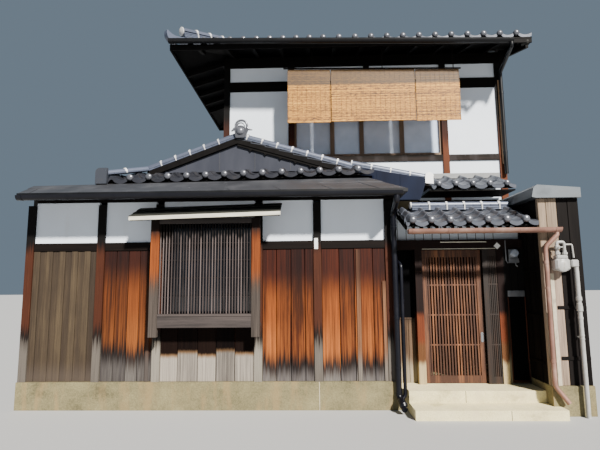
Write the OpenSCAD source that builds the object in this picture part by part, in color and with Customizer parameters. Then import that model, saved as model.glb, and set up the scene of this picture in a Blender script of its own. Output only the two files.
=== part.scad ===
// Two-storey machiya townhouse with a hip-and-gable front roof, a lattice
// bay window, a tiled entrance with a sliding lattice door and a plaster upper
// storey. X runs along the street, Y runs into the plot, Z is up, and the
// origin is on the underside of the front footing, below the third wall post.

/* [Plan] */
// Outer face of the left party wall
plot_left_x = -3020; // [-3100:10:-2980]
// Outer face of the right party wall
plot_right_x = 3900; // [3880:10:3960]
// Depth of the low front block
front_depth = 1500; // [1480:10:1600]
// Outer face of the rear wall
rear_y = 3900; // [3700:10:4600]
// Left edge of the entrance recess
recess_left_x = 1735; // [1730:5:1780]
// Right edge of the entrance recess
recess_right_x = 3420; // [3415:5:3460]
// Front face of the annex beside the entrance
annex_front_y = -250; // [-300:10:-150]
// Thickness of the outer walls
wall_t = 120; // [100:5:160]

/* [Plinth and floors] */
// Height of the concrete footing
plinth_h = 333; // [300:1:380]
// Width of the footing
plinth_w = 170; // [150:5:200]
// How far the footing stands out past the wall posts
plinth_out = 20; // [10:5:40]
// Thickness of the floors
floor_t = 90; // [70:5:120]
// Underside of the upper floor
upper_floor_z = 2740; // [2720:5:2780]
// Height of the entrance landing
landing_h = 247; // [230:1:260]
// Height of the lower step
step_h = 110; // [95:1:120]
// Front edge of the landing
landing_y = -120; // [-160:5:-100]
// Front edge of the lower step
step_y = -440; // [-480:5:-400]

/* [Front wall] */
// Width of a wall post
post_w = 100; // [90:5:110]
// Underside of the rail that divides boards from plaster
rail_z = 1962; // [1940:1:1990]
// Height of that rail
rail_h = 105; // [95:5:115]
// Underside of the eave beam
beam_z = 2560; // [2540:5:2580]
// Thickness of the weatherboards
board_t = 24; // [18:1:30]

/* [Bay window] */
// How far the lattice stands out from the wall
bay_out = 220; // [180:5:260]
// Lower end of the lattice stiles
bay_foot_z = 893; // [880:1:940]
// Underside of the sill rail
bay_sill_z = 1006; // [990:1:1030]
// Top of the lattice bars
bay_top_z = 2200; // [2150:5:2210]
// Number of upright bars
bay_bars = 32; // [28:1:34]
// Side of an upright bar
bay_bar_w = 16; // [14:1:20]
// Length of the hood over the bay
hood_len = 1842; // [1800:2:1900]
// Sag of the hood towards its left end, in degrees
hood_sag = 1.4; // [0:0.1:2]

/* [Front roof] */
// Top of the tiled skirt at its eave
skirt_eave_z = 2995; // [2985:5:3000]
// Rise of the skirt towards its right end, in degrees
skirt_tilt = 1.4; // [0:0.1:1.5]
// Fall of the lower part of the right slope for each unit of run
lower_fall = 0.24; // [0.23:0.005:0.26]
// Place of the ridge along the street
ridge_x = -393; // [-420:1:-360]
// Top of the roof slopes at the ridge
ridge_z = 3655; // [3630:5:3690]
// Fall of the left slope for each unit of run
left_fall = 0.372; // [0.36:0.002:0.38]
// Fall of the right slope for each unit of run
right_fall = 0.296; // [0.29:0.001:0.305]
// Eave of the left slope
left_eave_x = -2220; // [-2260:5:-2200]
// Eave of the right slope
right_eave_x = 2390; // [2370:5:2400]
// Face of the gable panel
gable_y = 690; // [670:5:720]
// Height at which the tiled skirt meets the gable panel
skirt_top_z = 3165; // [3150:5:3180]
// Eave of the tiled skirt below the gable
skirt_eave_y = 150; // [130:5:180]
// Front edge of the sheet-metal eave
metal_eave_y = -400; // [-420:5:-380]
// Top of the sheet-metal eave at its front edge
metal_front_z = 2645; // [2635:5:2655]

/* [Upper storey] */
// Outer face of the left wall
upper_left_x = -770; // [-790:5:-750]
// Outer face of the right wall
upper_right_x = 3850; // [3830:5:3870]
// Top of the plaster
upper_top_z = 5150; // [5120:5:5180]
// Top of the sill beam
window_z = 3590; // [3560:5:3620]
// Height of the sill beam
sill_h = 102; // [90:2:120]
// Underside of the beam over the windows
window_top_z = 4730; // [4700:5:4760]
// Height of that beam
lintel_h = 170; // [150:5:180]

/* [Upper roof] */
// Front edge of the tiles
upper_eave_y = 780; // [760:5:800]
// Left edge of the tiles
upper_eave_x = -1480; // [-1500:5:-1460]
// Right edge of the tiles
upper_verge_x = 4040; // [4020:5:4060]
// Top of the tiles at the front edge
upper_eave_z = 5290; // [5270:5:5310]
// Rise of the slopes for each unit of run
upper_fall = 0.3; // [0.28:0.005:0.34]

/* [Entrance] */
// Front face of the door leaf
door_y = 270; // [260:5:280]
// Left edge of the door leaf
door_x = 2120; // [2118:1:2122]
// Width of the door leaf
door_w = 765; // [760:1:768]
// Height of the door leaf
door_h = 1690; // [1680:1:1692]
// Number of upright bars in the leaf
door_bars = 17; // [15:1:19]
// Front edge of the entrance roof tiles
porch_eave_y = -290; // [-300:5:-280]
// Top of the entrance roof tiles at the front edge
porch_eave_z = 2275; // [2270:5:2280]
// Rise of the entrance roof for each unit of run
porch_fall = 0.4; // [0.38:0.01:0.42]

/* [Tiles and gutters] */
// Spacing of the tile rows along an eave
tile_pitch = 250; // [240:1:260]
// Exposed length of one course of tiles
tile_course = 215; // [200:5:230]
// Step between two courses of tiles
tile_step = 20; // [16:1:24]
// Vertical thickness of a tiled slope
roof_t = 90; // [85:1:95]
// Radius of the half-round gutters
gutter_r = 52; // [48:1:55]

/* [Hidden] */

// Centres of the front wall posts along the street, and the boards in each bay
front_post_x = [-2965, -2037, -1282, 0, 749, 1655];
bay_boards = [10, 4, 5, 4, 4];
// The bay of the front wall that holds the lattice bay window
bay_index = 2;
// Centres of the upper posts that flank the window band, and of the stub between them
upper_post_x = [361, 2890];
upper_stub_x = 1625;
// Edges of the four sashes between those posts
sash_x = [411, 1040, 1525, 2190, 2840];

post_half = post_w / 2;
// Bay window
bay_left_x = -1312;
bay_right_x = 45;
bay_stile_w = 105;
bay_sill_h = 165;
bay_cross_z = [1366, 1596, 1816, 2026];

wall_back_y = 110;
floor_z = plinth_h + floor_t;
sky_z = 9000;
rail_top_z = rail_z + rail_h;
hall_y = front_depth + 200;

// Front roof
left_eave_z = ridge_z - left_fall * (ridge_x - left_eave_x);
gable_left_x = ridge_x - (ridge_z - skirt_top_z) / left_fall;
gable_right_x = ridge_x + (ridge_z - skirt_top_z) / right_fall;
right_eave_z = skirt_top_z - lower_fall * (right_eave_x - gable_right_x);
verge_y = gable_y - 40;
skirt_run = gable_y - skirt_eave_y;
skirt_fall = (skirt_top_z - skirt_eave_z) / skirt_run;
skirt_mid_x = -230;
skirt_right_x = 1520;
side_box_z = 2690;
side_box_x = 2225;

// Sheet-metal eave: its back edge is a little higher at the right end
metal_left_x = -2935;
metal_right_x = 1835;
metal_hip_x = 1440;
metal_back_y = skirt_eave_y;
metal_left_z = 2853;
metal_hip_z = 2900;
metal_t = 35;
low_roof_z = 2800;

// Upper roof
upper_out = front_depth - upper_eave_y;
upper_run = (rear_y - front_depth) / 2 + upper_out;
upper_ridge_y = upper_eave_y + upper_run;
upper_ridge_z = upper_eave_z + upper_fall * upper_run;
upper_hip_x = upper_eave_x + upper_run;
upper_back_y = upper_eave_y + 2 * upper_run;
plate_z = upper_eave_z - roof_t + upper_fall * upper_out - 80;

// Blinds: their plane and the edges of each along the street
blind_y = 1020;
blind_x = [[325, 1000], [1006, 2316], [2322, 3005]];

// Entrance
porch_ridge_y = 330;
porch_ridge_z = porch_eave_z + porch_fall * (porch_ridge_y - porch_eave_y);
porch_left_x = 1800;
porch_right_x = 3400;
door_t = 34;
door_gap = 6;
door_base_z = landing_h + door_gap;
door_top_z = door_base_z + door_h;
head_z = door_top_z + 8;
head_h = 125;
screen_y = door_y - 50;
inner_y = door_y + 60;
steps_left_x = 1815;
annex_top_z = 2525;

// Pent roof between the storeys
pent_eave_y = 930;
pent_eave_z = 3055;
pent_fall = 0.27;
pent_right_x = 3700;

// A block given by its ranges along X, Y and Z
module block(x, y, z) {
    translate([x[0], y[0], z[0]])
        cube([x[1] - x[0], y[1] - y[0], z[1] - z[0]]);
}

// An outline in X and Z, extruded over the range y
module along_y(y) {
    translate([0, y[1], 0])
        rotate([90, 0, 0])
            linear_extrude(y[1] - y[0]) children();
}

// An outline in Y and Z, extruded over the range x
module along_x(x) {
    translate([x[0], 0, 0])
        rotate([90, 0, 90])
            linear_extrude(x[1] - x[0]) children();
}

// A profile laid along the line from p to q, its first axis to the left of the
// line and its second axis upwards
module along_line(p, q) {
    d = q - p;
    translate(p)
        rotate([0, 0, atan2(d[1], d[0])])
            rotate([0, -atan2(d[2], norm([d[0], d[1]])), 0])
                rotate([90, 0, 90])
                    linear_extrude(norm(d)) children();
}

// Whole courses that fit a run
function courses_in(run) = max(1, round(run / tile_course));

// Top line of a tiled slope from its eave up, with a step at each course
function course_line(run, eave_z, fall, courses) = [
    for (i = [0 : courses - 1], end = [0, 1])
        let (u = (i + end) * run / courses)
            [u, eave_z + fall * u - end * tile_step]
];

// Section of a tiled slope, as level run and height
module course_section(run, eave_z, fall, courses) {
    polygon(concat(
        course_line(run, eave_z, fall, courses),
        [[run, eave_z + fall * run - roof_t], [0, eave_z - roof_t]]
    ));
}

// Sheet of thickness t under four corners, which need not lie in one plane
module sheet(corners, t) {
    polyhedron(
        points = concat(corners, [for (c = corners) c - [0, 0, t]]),
        faces = [
            [0, 2, 1], [0, 3, 2], [4, 5, 6], [4, 6, 7],
            [0, 1, 5, 4], [1, 2, 6, 5], [2, 3, 7, 6], [3, 0, 4, 7]
        ]
    );
}

// Underside of the upper roof above a point that lies u behind its eave
function upper_under_z(u) = upper_eave_z - roof_t + upper_fall * u;

// Cross section of a ridge: flat tiles under a row of round tiles
module ridge_profile(w, h, r) {
    translate([-w / 2, 0])
        square([w, h]);
    translate([0, h])
        circle(r, $fn = 24);
}

// Ridge from p to q, with a collar where two round tiles meet
module ridge_run(p, q, w, h, r, collars) {
    step = (q - p) / (collars + 1);
    along_line(p, q)
        ridge_profile(w, h, r);
    for (i = [1 : collars])
        along_line(p + step * i, p + step * i + step * (24 / norm(step)))
            translate([0, h])
                circle(r + 7, $fn = 24);
}

// Row of round noses along an eave that faces the street, at the height of z
module nose_row(x, y, z, r) {
    count = round((x[1] - x[0]) / tile_pitch);
    for (i = [0 : count - 1])
        translate([x[0] + (i + 0.5) * (x[1] - x[0]) / count, y + 20, z])
            rotate([90, 0, 0])
                cylinder(h = 46, r = r, $fn = 24);
}

// Boards side by side with a groove at each joint, seen from above
module boards_outline(w, count, t = board_t) {
    difference() {
        square([w, t]);
        for (i = [1 : count - 1])
            translate([i * w / count - 3, -1])
                square([6, 8]);
    }
}

// Half-round gutter from p to q
module gutter_between(p, q, r) {
    along_line(p, q)
        intersection() {
            difference() {
                circle(r, $fn = 32);
                circle(r - 5, $fn = 32);
            }
            translate([-r, -r])
                square([2 * r, r]);
        }
}

// Pipe along a list of points, with a slightly wider ball joint at each bend
module pipe(points, r) {
    for (i = [0 : len(points) - 2])
        along_line(points[i], points[i + 1])
            circle(r, $fn = 24);
    for (i = [1 : len(points) - 2])
        translate(points[i])
            sphere(r + 4, $fn = 24);
}

// Footing under the outer walls, open at the entrance
module plinth() {
    annex_x = recess_right_x;
    foot_y = annex_front_y - 30;
    color([0.66, 0.62, 0.5])
        linear_extrude(plinth_h)
            difference() {
                polygon([
                    [plot_left_x, -plinth_out], [recess_left_x, -plinth_out], [recess_left_x, hall_y],
                    [annex_x, hall_y], [annex_x, foot_y], [plot_right_x, foot_y],
                    [plot_right_x, rear_y], [plot_left_x, rear_y]
                ]);
                polygon([
                    [plot_left_x + plinth_w, plinth_w - plinth_out],
                    [recess_left_x - plinth_w, plinth_w - plinth_out],
                    [recess_left_x - plinth_w, hall_y + plinth_w], [annex_x + plinth_w, hall_y + plinth_w],
                    [annex_x + plinth_w, foot_y + plinth_w], [plot_right_x - plinth_w, foot_y + plinth_w],
                    [plot_right_x - plinth_w, rear_y - plinth_w], [plot_left_x + plinth_w, rear_y - plinth_w]
                ]);
            }
}

// Landing, lower step and the floor of the entrance hall, cast in one
module entrance_steps() {
    annex_x = recess_right_x;
    color([0.78, 0.74, 0.6]) {
        along_x([steps_left_x, annex_x])
            polygon([
                [step_y, 0], [hall_y, 0], [hall_y, landing_h],
                [landing_y, landing_h], [landing_y, step_h], [step_y, step_h]
            ]);
        block([recess_left_x, steps_left_x], [-plinth_out, hall_y], [0, landing_h]);
        block([annex_x, annex_x + 80], [step_y, annex_front_y - 30], [0, step_h]);
    }
}

// Floor of the front block, the main block and the annex, over the footing
module ground_floor() {
    color([0.5, 0.36, 0.22])
        translate([0, 0, plinth_h])
            linear_extrude(floor_t)
                polygon([
                    [plot_left_x + wall_t, wall_back_y], [recess_left_x - wall_t, wall_back_y],
                    [recess_left_x - wall_t, hall_y], [recess_right_x + 60, hall_y],
                    [recess_right_x + 60, annex_front_y + 60], [plot_right_x - wall_t, annex_front_y + 60],
                    [plot_right_x - wall_t, rear_y - wall_t], [plot_left_x + wall_t, rear_y - wall_t]
                ]);
}

// Floor between the storeys
module upper_floor() {
    color([0.5, 0.36, 0.22])
        block([upper_left_x + wall_t, upper_right_x - wall_t],
              [front_depth + wall_t, rear_y - wall_t], [upper_floor_z, upper_floor_z + floor_t]);
}

// Posts of the front wall
module front_posts() {
    color([0.2, 0.12, 0.09])
        for (x = front_post_x)
            block([x - post_half, x + post_half], [0, wall_back_y], [plinth_h, beam_z]);
}

// Weatherboards of the front wall, one panel in each bay, reaching a little
// behind the rail and the sill of the bay window
module front_boards() {
    color([0.5, 0.24, 0.13])
        for (i = [0 : len(bay_boards) - 1]) {
            left = front_post_x[i] + post_half;
            w = front_post_x[i + 1] - post_half - left;
            top = i == bay_index ? bay_sill_z : rail_z;
            translate([left, 20, plinth_h])
                linear_extrude(top - plinth_h)
                    boards_outline(w, bay_boards[i]);
        }
}

// White plaster between the rail and the eave beam, and over the entrance
module front_plaster() {
    color([0.93, 0.94, 0.95]) {
        for (i = [0 : len(bay_boards) - 1])
            block([front_post_x[i] + post_half, front_post_x[i + 1] - post_half],
                  [30, 80], [i == bay_index ? 2360 : rail_top_z, beam_z]);
        block([recess_left_x, recess_right_x], [inner_y, inner_y + 50], [head_z + head_h, 2448]);
    }
}

// Rail of the front wall, eave beam, and the beam under the upper front wall
module wall_beams() {
    beam_end_x = recess_left_x - 150;
    color([0.15, 0.1, 0.08]) {
        for (i = [0 : len(bay_boards) - 1])
            if (i != bay_index)
                block([front_post_x[i] + post_half, front_post_x[i + 1] - post_half],
                      [8, 90], [rail_z, rail_top_z]);
        block([plot_left_x + wall_t, beam_end_x], [0, wall_back_y], [beam_z, 2762]);
        block([beam_end_x, recess_left_x], [0, wall_back_y], [beam_z, 2645]);
        block([plot_left_x + wall_t, upper_left_x],
              [front_depth, front_depth + wall_t], [2450, low_roof_z - 5]);
        block([upper_left_x, plot_right_x - wall_t],
              [front_depth, front_depth + wall_t], [2450, upper_floor_z + floor_t]);
    }
}

// Left party wall, up to the low roof beside the tiled slope
module party_wall_left() {
    color([0.34, 0.3, 0.27])
        block([plot_left_x, plot_left_x + wall_t], [wall_back_y, rear_y], [plinth_h, low_roof_z]);
}

// Right party wall, low beside the annex and higher beside the main block
module party_wall_right() {
    top_z = upper_floor_z + floor_t;
    color([0.34, 0.3, 0.27])
        along_x([plot_right_x - wall_t, plot_right_x])
            polygon([
                [annex_front_y + 60, plinth_h], [rear_y, plinth_h], [rear_y, top_z],
                [front_depth, top_z], [front_depth, annex_top_z], [annex_front_y + 60, annex_top_z]
            ]);
}

// Rear wall of the ground floor, with a sloped top under the left roof slope
module rear_wall() {
    clear = 3;
    edge_x = left_eave_x + 60;
    floor_top_z = upper_floor_z + floor_t;
    color([0.42, 0.3, 0.22])
        along_y([rear_y - wall_t, rear_y])
            polygon([
                [plot_left_x + wall_t, plinth_h], [plot_right_x - wall_t, plinth_h],
                [plot_right_x - wall_t, floor_top_z], [upper_left_x, floor_top_z],
                [upper_left_x, front_under_z(upper_left_x) - clear], [edge_x, front_under_z(edge_x) - clear],
                [edge_x, low_roof_z], [plot_left_x + wall_t, low_roof_z]
            ]);
}

// Stiles, rails and side boards that carry the lattice
module bay_frame() {
    head_top_z = 2345;
    color([0.33, 0.27, 0.23]) {
        for (x = [bay_left_x, bay_right_x - bay_stile_w])
            block([x, x + bay_stile_w], [-bay_out, 60 - bay_out], [bay_foot_z, head_top_z]);
        block([bay_left_x + bay_stile_w, bay_right_x - bay_stile_w], [5 - bay_out, 55 - bay_out],
              [bay_sill_z, bay_sill_z + bay_sill_h]);
        block([bay_left_x + bay_stile_w, bay_right_x - bay_stile_w], [5 - bay_out, 55 - bay_out],
              [bay_top_z, bay_top_z + 90]);
        block([bay_left_x + 10, bay_right_x - 10], [60 - bay_out, 0], [bay_sill_z, bay_sill_z + 40]);
        for (x = [bay_left_x + 20, bay_right_x - 40])
            block([x, x + 20], [60 - bay_out, 0], [bay_sill_z + 40, head_top_z]);
    }
}

// Upright bars with four thin cross bars, fused where they cross
module bay_lattice() {
    left = bay_left_x + bay_stile_w;
    right = bay_right_x - bay_stile_w;
    foot_z = bay_sill_z + bay_sill_h;
    pitch = (right - left) / bay_bars;
    color([0.2, 0.15, 0.13])
        along_y([14 - bay_out, 14 - bay_out + bay_bar_w]) {
            for (i = [0 : bay_bars - 1])
                translate([left + (i + 0.5) * pitch - bay_bar_w / 2, foot_z])
                    square([bay_bar_w, bay_top_z - foot_z]);
            for (z = bay_cross_z)
                translate([left, z])
                    square([right - left, 14]);
        }
}

// Boarded hood over the bay with a light front edge, sagging to the left
module bay_hood() {
    mid_x = (bay_left_x + bay_right_x) / 2 + 20;
    hood_z = 2345;
    color([0.75, 0.7, 0.6])
        translate([mid_x, 0, hood_z])
            rotate([0, -hood_sag, 0])
                along_x([-hood_len / 2, hood_len / 2])
                    polygon([
                        [-375, -50], [-345, -50], [-345, -28], [-2, 115],
                        [-2, 157], [-375, 0]
                    ]);
}

// Dark sash behind the lattice
module bay_window() {
    color([0.12, 0.13, 0.15])
        block([front_post_x[bay_index] + post_half, front_post_x[bay_index + 1] - post_half],
              [50, 80], [bay_sill_z, 2360]);
}

// Sheet-metal eave over the front wall, hipped round the right corner
module metal_eave() {
    skew = 130;
    front_left = [metal_left_x, metal_eave_y, metal_front_z];
    front_right = [metal_right_x, metal_eave_y, metal_front_z];
    back_left = [metal_left_x - skew, metal_back_y, metal_left_z];
    back_right = [metal_hip_x, metal_back_y, metal_hip_z];
    color([0.2, 0.2, 0.21]) {
        sheet([front_left, front_right, back_right, back_left], metal_t);
        sheet([front_right, [metal_right_x, gable_y, metal_front_z],
               [metal_hip_x, gable_y, metal_hip_z], back_right], metal_t);
        sheet([back_right, [metal_hip_x, gable_y, metal_hip_z],
               [gable_right_x - 60, gable_y, metal_hip_z], [skirt_right_x - 160, metal_back_y, metal_hip_z]],
              metal_t);
    }
}

// Gutter under the sheet-metal eave, and the rain pipes at its right end
module front_gutter() {
    y = metal_eave_y - 45;
    z = metal_front_z - metal_t - 8;
    pipe_x = 1706;
    pipe_y = -62;
    color([0.1, 0.1, 0.11]) {
        gutter_between([metal_left_x, y, z], [1760, y, z], gutter_r);
        pipe([[1690, y, z - gutter_r + 4], [1690, y, 2500], [pipe_x, pipe_y, 2400],
              [pipe_x, pipe_y, 160], [1735, -240, 62]], 36);
        pipe([[1762, 60, 1800], [1783, pipe_y, 1740], [1783, pipe_y, 190], [1740, -80, 140]], 22);
    }
}

// Flat sheet-metal roofs at the left party wall and behind the entrance roof
module low_roofs() {
    edge_x = left_eave_x + 55;
    color([0.2, 0.2, 0.21]) {
        along_y([metal_back_y + 2, rear_y + 40])
            polygon([
                [plot_left_x - 20, low_roof_z], [edge_x, low_roof_z], [edge_x, low_roof_z + 54],
                [edge_x - 25, low_roof_z + 54], [edge_x - 25, low_roof_z + 30],
                [plot_left_x - 20, low_roof_z + 20]
            ]);
        block([recess_left_x, recess_right_x], [porch_ridge_y + 1, front_depth], [2450, 2480]);
    }
}

// Turns its children into the tilt of the skirt
module skirt_tilted() {
    translate([skirt_mid_x, 0, skirt_eave_z])
        rotate([0, -skirt_tilt, 0])
            translate([-skirt_mid_x, 0, -skirt_eave_z])
                children();
}

// Tiled skirt below the gable, with its round noses
module skirt_tiles() {
    back_x = left_eave_x + (gable_left_x - left_eave_x) * (verge_y - skirt_eave_y) / skirt_run;
    reach = 50;
    spread = reach / (verge_y - skirt_eave_y);
    color([0.25, 0.26, 0.28]) {
        intersection() {
            skirt_tilted()
                along_x([left_eave_x - 90, skirt_right_x + 90])
                    translate([skirt_eave_y, 0])
                        course_section(skirt_run, skirt_eave_z, skirt_fall, 2);
            linear_extrude(sky_z)
                polygon([
                    [left_eave_x - spread * (back_x - left_eave_x), skirt_eave_y - reach],
                    [back_x, verge_y], [gable_right_x, verge_y],
                    [skirt_right_x + spread * (skirt_right_x - gable_right_x), skirt_eave_y - reach]
                ]);
        }
        skirt_tilted()
            nose_row([left_eave_x + 75, skirt_right_x - 60], skirt_eave_y, skirt_eave_z - 12, 36);
    }
}

// Left slope of the front roof, running back beside the upper storey
module front_roof_left() {
    run = ridge_x - left_eave_x;
    back_y = rear_y + 150;
    hip_x = left_eave_x + (gable_left_x - left_eave_x) * (verge_y - skirt_eave_y) / skirt_run;
    color([0.25, 0.26, 0.28])
        intersection() {
            along_y([0, back_y])
                translate([left_eave_x, 0])
                    course_section(run, left_eave_z, left_fall, courses_in(run));
            linear_extrude(sky_z)
                polygon([
                    [left_eave_x, skirt_eave_y], [hip_x, verge_y], [ridge_x, verge_y],
                    [ridge_x, front_depth], [upper_left_x, front_depth], [upper_left_x, back_y],
                    [left_eave_x, back_y]
                ]);
        }
}

// Right slope of the front roof, flatter below the gable's foot
module front_roof_right() {
    low_run = right_eave_x - gable_right_x;
    high_run = gable_right_x - ridge_x;
    color([0.25, 0.26, 0.28])
        along_y([verge_y, front_depth])
            translate([right_eave_x, 0])
                mirror([1, 0]) {
                    course_section(low_run, right_eave_z, lower_fall, courses_in(low_run));
                    translate([low_run, 0])
                        course_section(high_run, skirt_top_z, right_fall, courses_in(high_run));
                }
}

// Height of the underside of the front roof's slopes above x
function front_under_z(x) =
    (x < ridge_x ? ridge_z - left_fall * (ridge_x - x) :
     x < gable_right_x ? ridge_z - right_fall * (x - ridge_x) :
     skirt_top_z - lower_fall * (x - gable_right_x)) - roof_t;

// Ridge beam and purlins between the gable and the upper storey
module roof_purlins() {
    color([0.2, 0.12, 0.09])
        for (x = [-1300, ridge_x, 500, 1650])
            block([x - 50, x + 50], [gable_y + 44, front_depth],
                  [front_under_z(x) - 160, front_under_z(x) - 25]);
}

// Sheet-metal gable with its flashing, and the cheek at the right end of the skirt
module gable_panels() {
    foot_z = skirt_top_z - roof_t - 10;
    left = gable_left_x + 60;
    clear = 3;
    cheek_d = [skirt_right_x - gable_right_x, verge_y - skirt_eave_y];
    cheek_foot = metal_hip_z + 4;
    color([0.13, 0.13, 0.15]) {
        along_y([gable_y + 2, gable_y + 42])
            polygon([
                [left, front_under_z(left) - clear], [left, foot_z - 30], [1180, foot_z - 30],
                [1180, metal_hip_z - 30], [metal_hip_x, metal_hip_z - 30], [1600, side_box_z],
                [side_box_x, side_box_z],
                [side_box_x + 70, front_under_z(side_box_x + 70) - clear],
                [gable_right_x, front_under_z(gable_right_x) - clear],
                [ridge_x, front_under_z(ridge_x) - clear]
            ]);
        block([-1440, 980], [verge_y, gable_y + 10], [skirt_top_z - 27, skirt_top_z - 17]);
        translate([skirt_right_x - 30, skirt_eave_y, 0])
            rotate([0, 0, atan2(cheek_d[1], -cheek_d[0])])
                mirror([0, 1, 0])
                    along_y([0, 25])
                        polygon([
                            [0, cheek_foot - 28], [120, cheek_foot], [norm(cheek_d), cheek_foot],
                            [norm(cheek_d), skirt_top_z - 90], [0, skirt_eave_z - 60]
                        ]);
    }
}

// Boarded soffit and fascia that close the eave over the entrance
module side_eave_box() {
    edge_x = side_box_x + 70;
    color([0.42, 0.36, 0.24])
        along_y([gable_y + 44, front_depth])
            polygon([
                [recess_left_x + 2, side_box_z], [side_box_x, side_box_z],
                [edge_x, front_under_z(edge_x) - 4], [edge_x - 24, front_under_z(edge_x - 24) - 4],
                [side_box_x - 16, side_box_z + 22], [recess_left_x + 2, side_box_z + 22]
            ]);
}

// Main ridge, verge ridges and hip ridges of the front roof
module front_roof_ridges() {
    y = verge_y + 66;
    end_x = left_eave_x + 85;
    apex = [ridge_x, y, ridge_z];
    bed = 25;
    left_foot = [gable_left_x, y, skirt_top_z];
    right_foot = [gable_right_x + 6, y, skirt_top_z];
    left_end = [end_x, skirt_eave_y + 60, front_under_z(end_x) + roof_t + bed];
    right_end = [right_eave_x - 20, y, front_under_z(right_eave_x - 20) + roof_t];
    color([0.3, 0.31, 0.34]) {
        ridge_run(left_foot, apex, 130, 62, 50, 6);
        ridge_run(right_foot, apex, 130, 62, 50, 7);
        ridge_run(left_end, left_foot + [0, -50, bed], 120, 60, 50, 1);
        ridge_run(right_end, right_foot, 120, 60, 50, 3);
        ridge_run(apex + [0, 70, 0], [ridge_x, front_depth, ridge_z], 130, 62, 55, 3);
    }
}

// Round end tile with side fins under a crescent, at the top of the gable
module ridge_ornament() {
    color([0.36, 0.37, 0.4])
        translate([ridge_x + 30, gable_y - 64, ridge_z + 100])
            rotate([90, 0, 0]) {
                cylinder(h = 60, r = 76, $fn = 48);
                translate([0, 40, -20])
                    linear_extrude(40)
                        intersection() {
                            difference() {
                                circle(112, $fn = 48);
                                translate([0, -14])
                                    circle(88, $fn = 48);
                            }
                            translate([-120, 0])
                                square([240, 120]);
                        }
                translate([-112, -62, -20])
                    cube([224, 76, 40]);
            }
}

// Front or rear wall of the upper storey, as plaster between the posts
module upper_street_wall(y) {
    low_z = upper_floor_z + floor_t;
    lintel_top_z = window_top_z + lintel_h;
    edges = [upper_left_x + post_w, upper_post_x[0] - post_half, upper_post_x[0] + post_half,
             upper_post_x[1] - post_half, upper_post_x[1] + post_half, upper_right_x - post_w];
    for (i = [0, 2]) {
        block([edges[2 * i], edges[2 * i + 1]], y, [low_z, window_z - sill_h]);
        block([edges[2 * i], edges[2 * i + 1]], y, [window_z, window_top_z]);
        block([edges[2 * i], edges[2 * i + 1]], y, [lintel_top_z, upper_top_z]);
    }
    block([edges[2], edges[3]], y, [low_z, window_z - sill_h]);
    block([edges[2], upper_stub_x - post_half], y, [lintel_top_z, upper_top_z]);
    block([upper_stub_x + post_half, edges[3]], y, [lintel_top_z, upper_top_z]);
}

module upper_wall_front() {
    color([0.93, 0.94, 0.95])
        upper_street_wall([front_depth + 25, front_depth + 95]);
}

module upper_wall_rear() {
    color([0.93, 0.94, 0.95])
        upper_street_wall([rear_y - 95, rear_y - 25]);
}

// Left and right walls of the upper storey; the right one ends in a gable
module upper_side_walls() {
    low_z = upper_floor_z + floor_t;
    gable_foot_z = upper_under_z(upper_out + wall_t) - 4;
    color([0.93, 0.94, 0.95]) {
        block([upper_left_x + 10, upper_left_x + wall_t], [front_depth + wall_t, rear_y - wall_t],
              [low_z, plate_z]);
        block([upper_right_x - wall_t, upper_right_x - 10], [front_depth + wall_t, rear_y - wall_t],
              [low_z, plate_z]);
        along_x([upper_right_x - wall_t, upper_right_x - 10])
            polygon([
                [front_depth + wall_t, plate_z], [rear_y - wall_t, plate_z],
                [rear_y - wall_t, gable_foot_z], [upper_ridge_y, upper_ridge_z - roof_t - 4],
                [front_depth + wall_t, gable_foot_z]
            ]);
    }
}

// Posts of the upper storey, and the stub over the window band
module upper_posts() {
    low_z = upper_floor_z + floor_t;
    corners = [upper_left_x + post_half, upper_right_x - post_half];
    color([0.2, 0.12, 0.09])
        for (y = [front_depth, rear_y - wall_t]) {
            for (x = concat(corners, upper_post_x))
                block([x - post_half, x + post_half], [y, y + wall_t], [low_z, upper_top_z]);
            block([upper_stub_x - post_half, upper_stub_x + post_half], [y, y + wall_t],
                  [window_top_z + lintel_h, upper_top_z]);
        }
}

// Sill beams, beams over the windows and wall plates of the upper storey
module upper_beams() {
    x = [upper_left_x + post_w, upper_post_x[0] - post_half, upper_post_x[0] + post_half,
         upper_post_x[1] - post_half, upper_post_x[1] + post_half, upper_right_x - post_w];
    color([0.14, 0.09, 0.07])
        for (y = [[front_depth + 5, front_depth + 105], [rear_y - 105, rear_y - 5]]) {
            for (i = [0, 2, 4]) {
                block([x[i], x[i + 1]], y, [window_z - sill_h, window_z]);
                block([x[i], x[i + 1]], y, [window_top_z, window_top_z + lintel_h]);
            }
            block([upper_left_x, upper_right_x], [y[0] - 5, y[1] + 5], [upper_top_z, plate_z]);
        }
}

// Frames of the four sashes in each window band
module upper_windows() {
    h = window_top_z - window_z;
    stile = 34;
    rail = 44;
    color([0.36, 0.22, 0.14])
        for (y = [front_depth + 40, rear_y - 70], i = [0 : 3])
            let (w = sash_x[i + 1] - sash_x[i] - 1)
                along_y([y, y + 30])
                    translate([sash_x[i], window_z])
                        difference() {
                            square([w, h]);
                            translate([stile, rail])
                                square([w - 2 * stile, h - 2 * rail]);
                        }
}

// One sheet of glass behind each band of sashes
module upper_glass() {
    color([0.6, 0.7, 0.8])
        for (y = [front_depth + 72, rear_y - 78])
            block([upper_post_x[0] + post_half, upper_post_x[1] - post_half], [y, y + 6],
                  [window_z, window_top_z]);
}

// Front or rear slope of the upper roof, cut back at the left hips and the ridge
module upper_long_slope() {
    joint = 1.5;
    intersection() {
        along_x([upper_eave_x, upper_verge_x])
            translate([upper_eave_y, 0])
                course_section(upper_run, upper_eave_z, upper_fall, courses_in(upper_run));
        linear_extrude(sky_z)
            polygon([
                [upper_eave_x + joint, upper_eave_y], [upper_verge_x, upper_eave_y],
                [upper_verge_x, upper_ridge_y - joint], [upper_hip_x, upper_ridge_y - joint]
            ]);
    }
}

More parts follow.
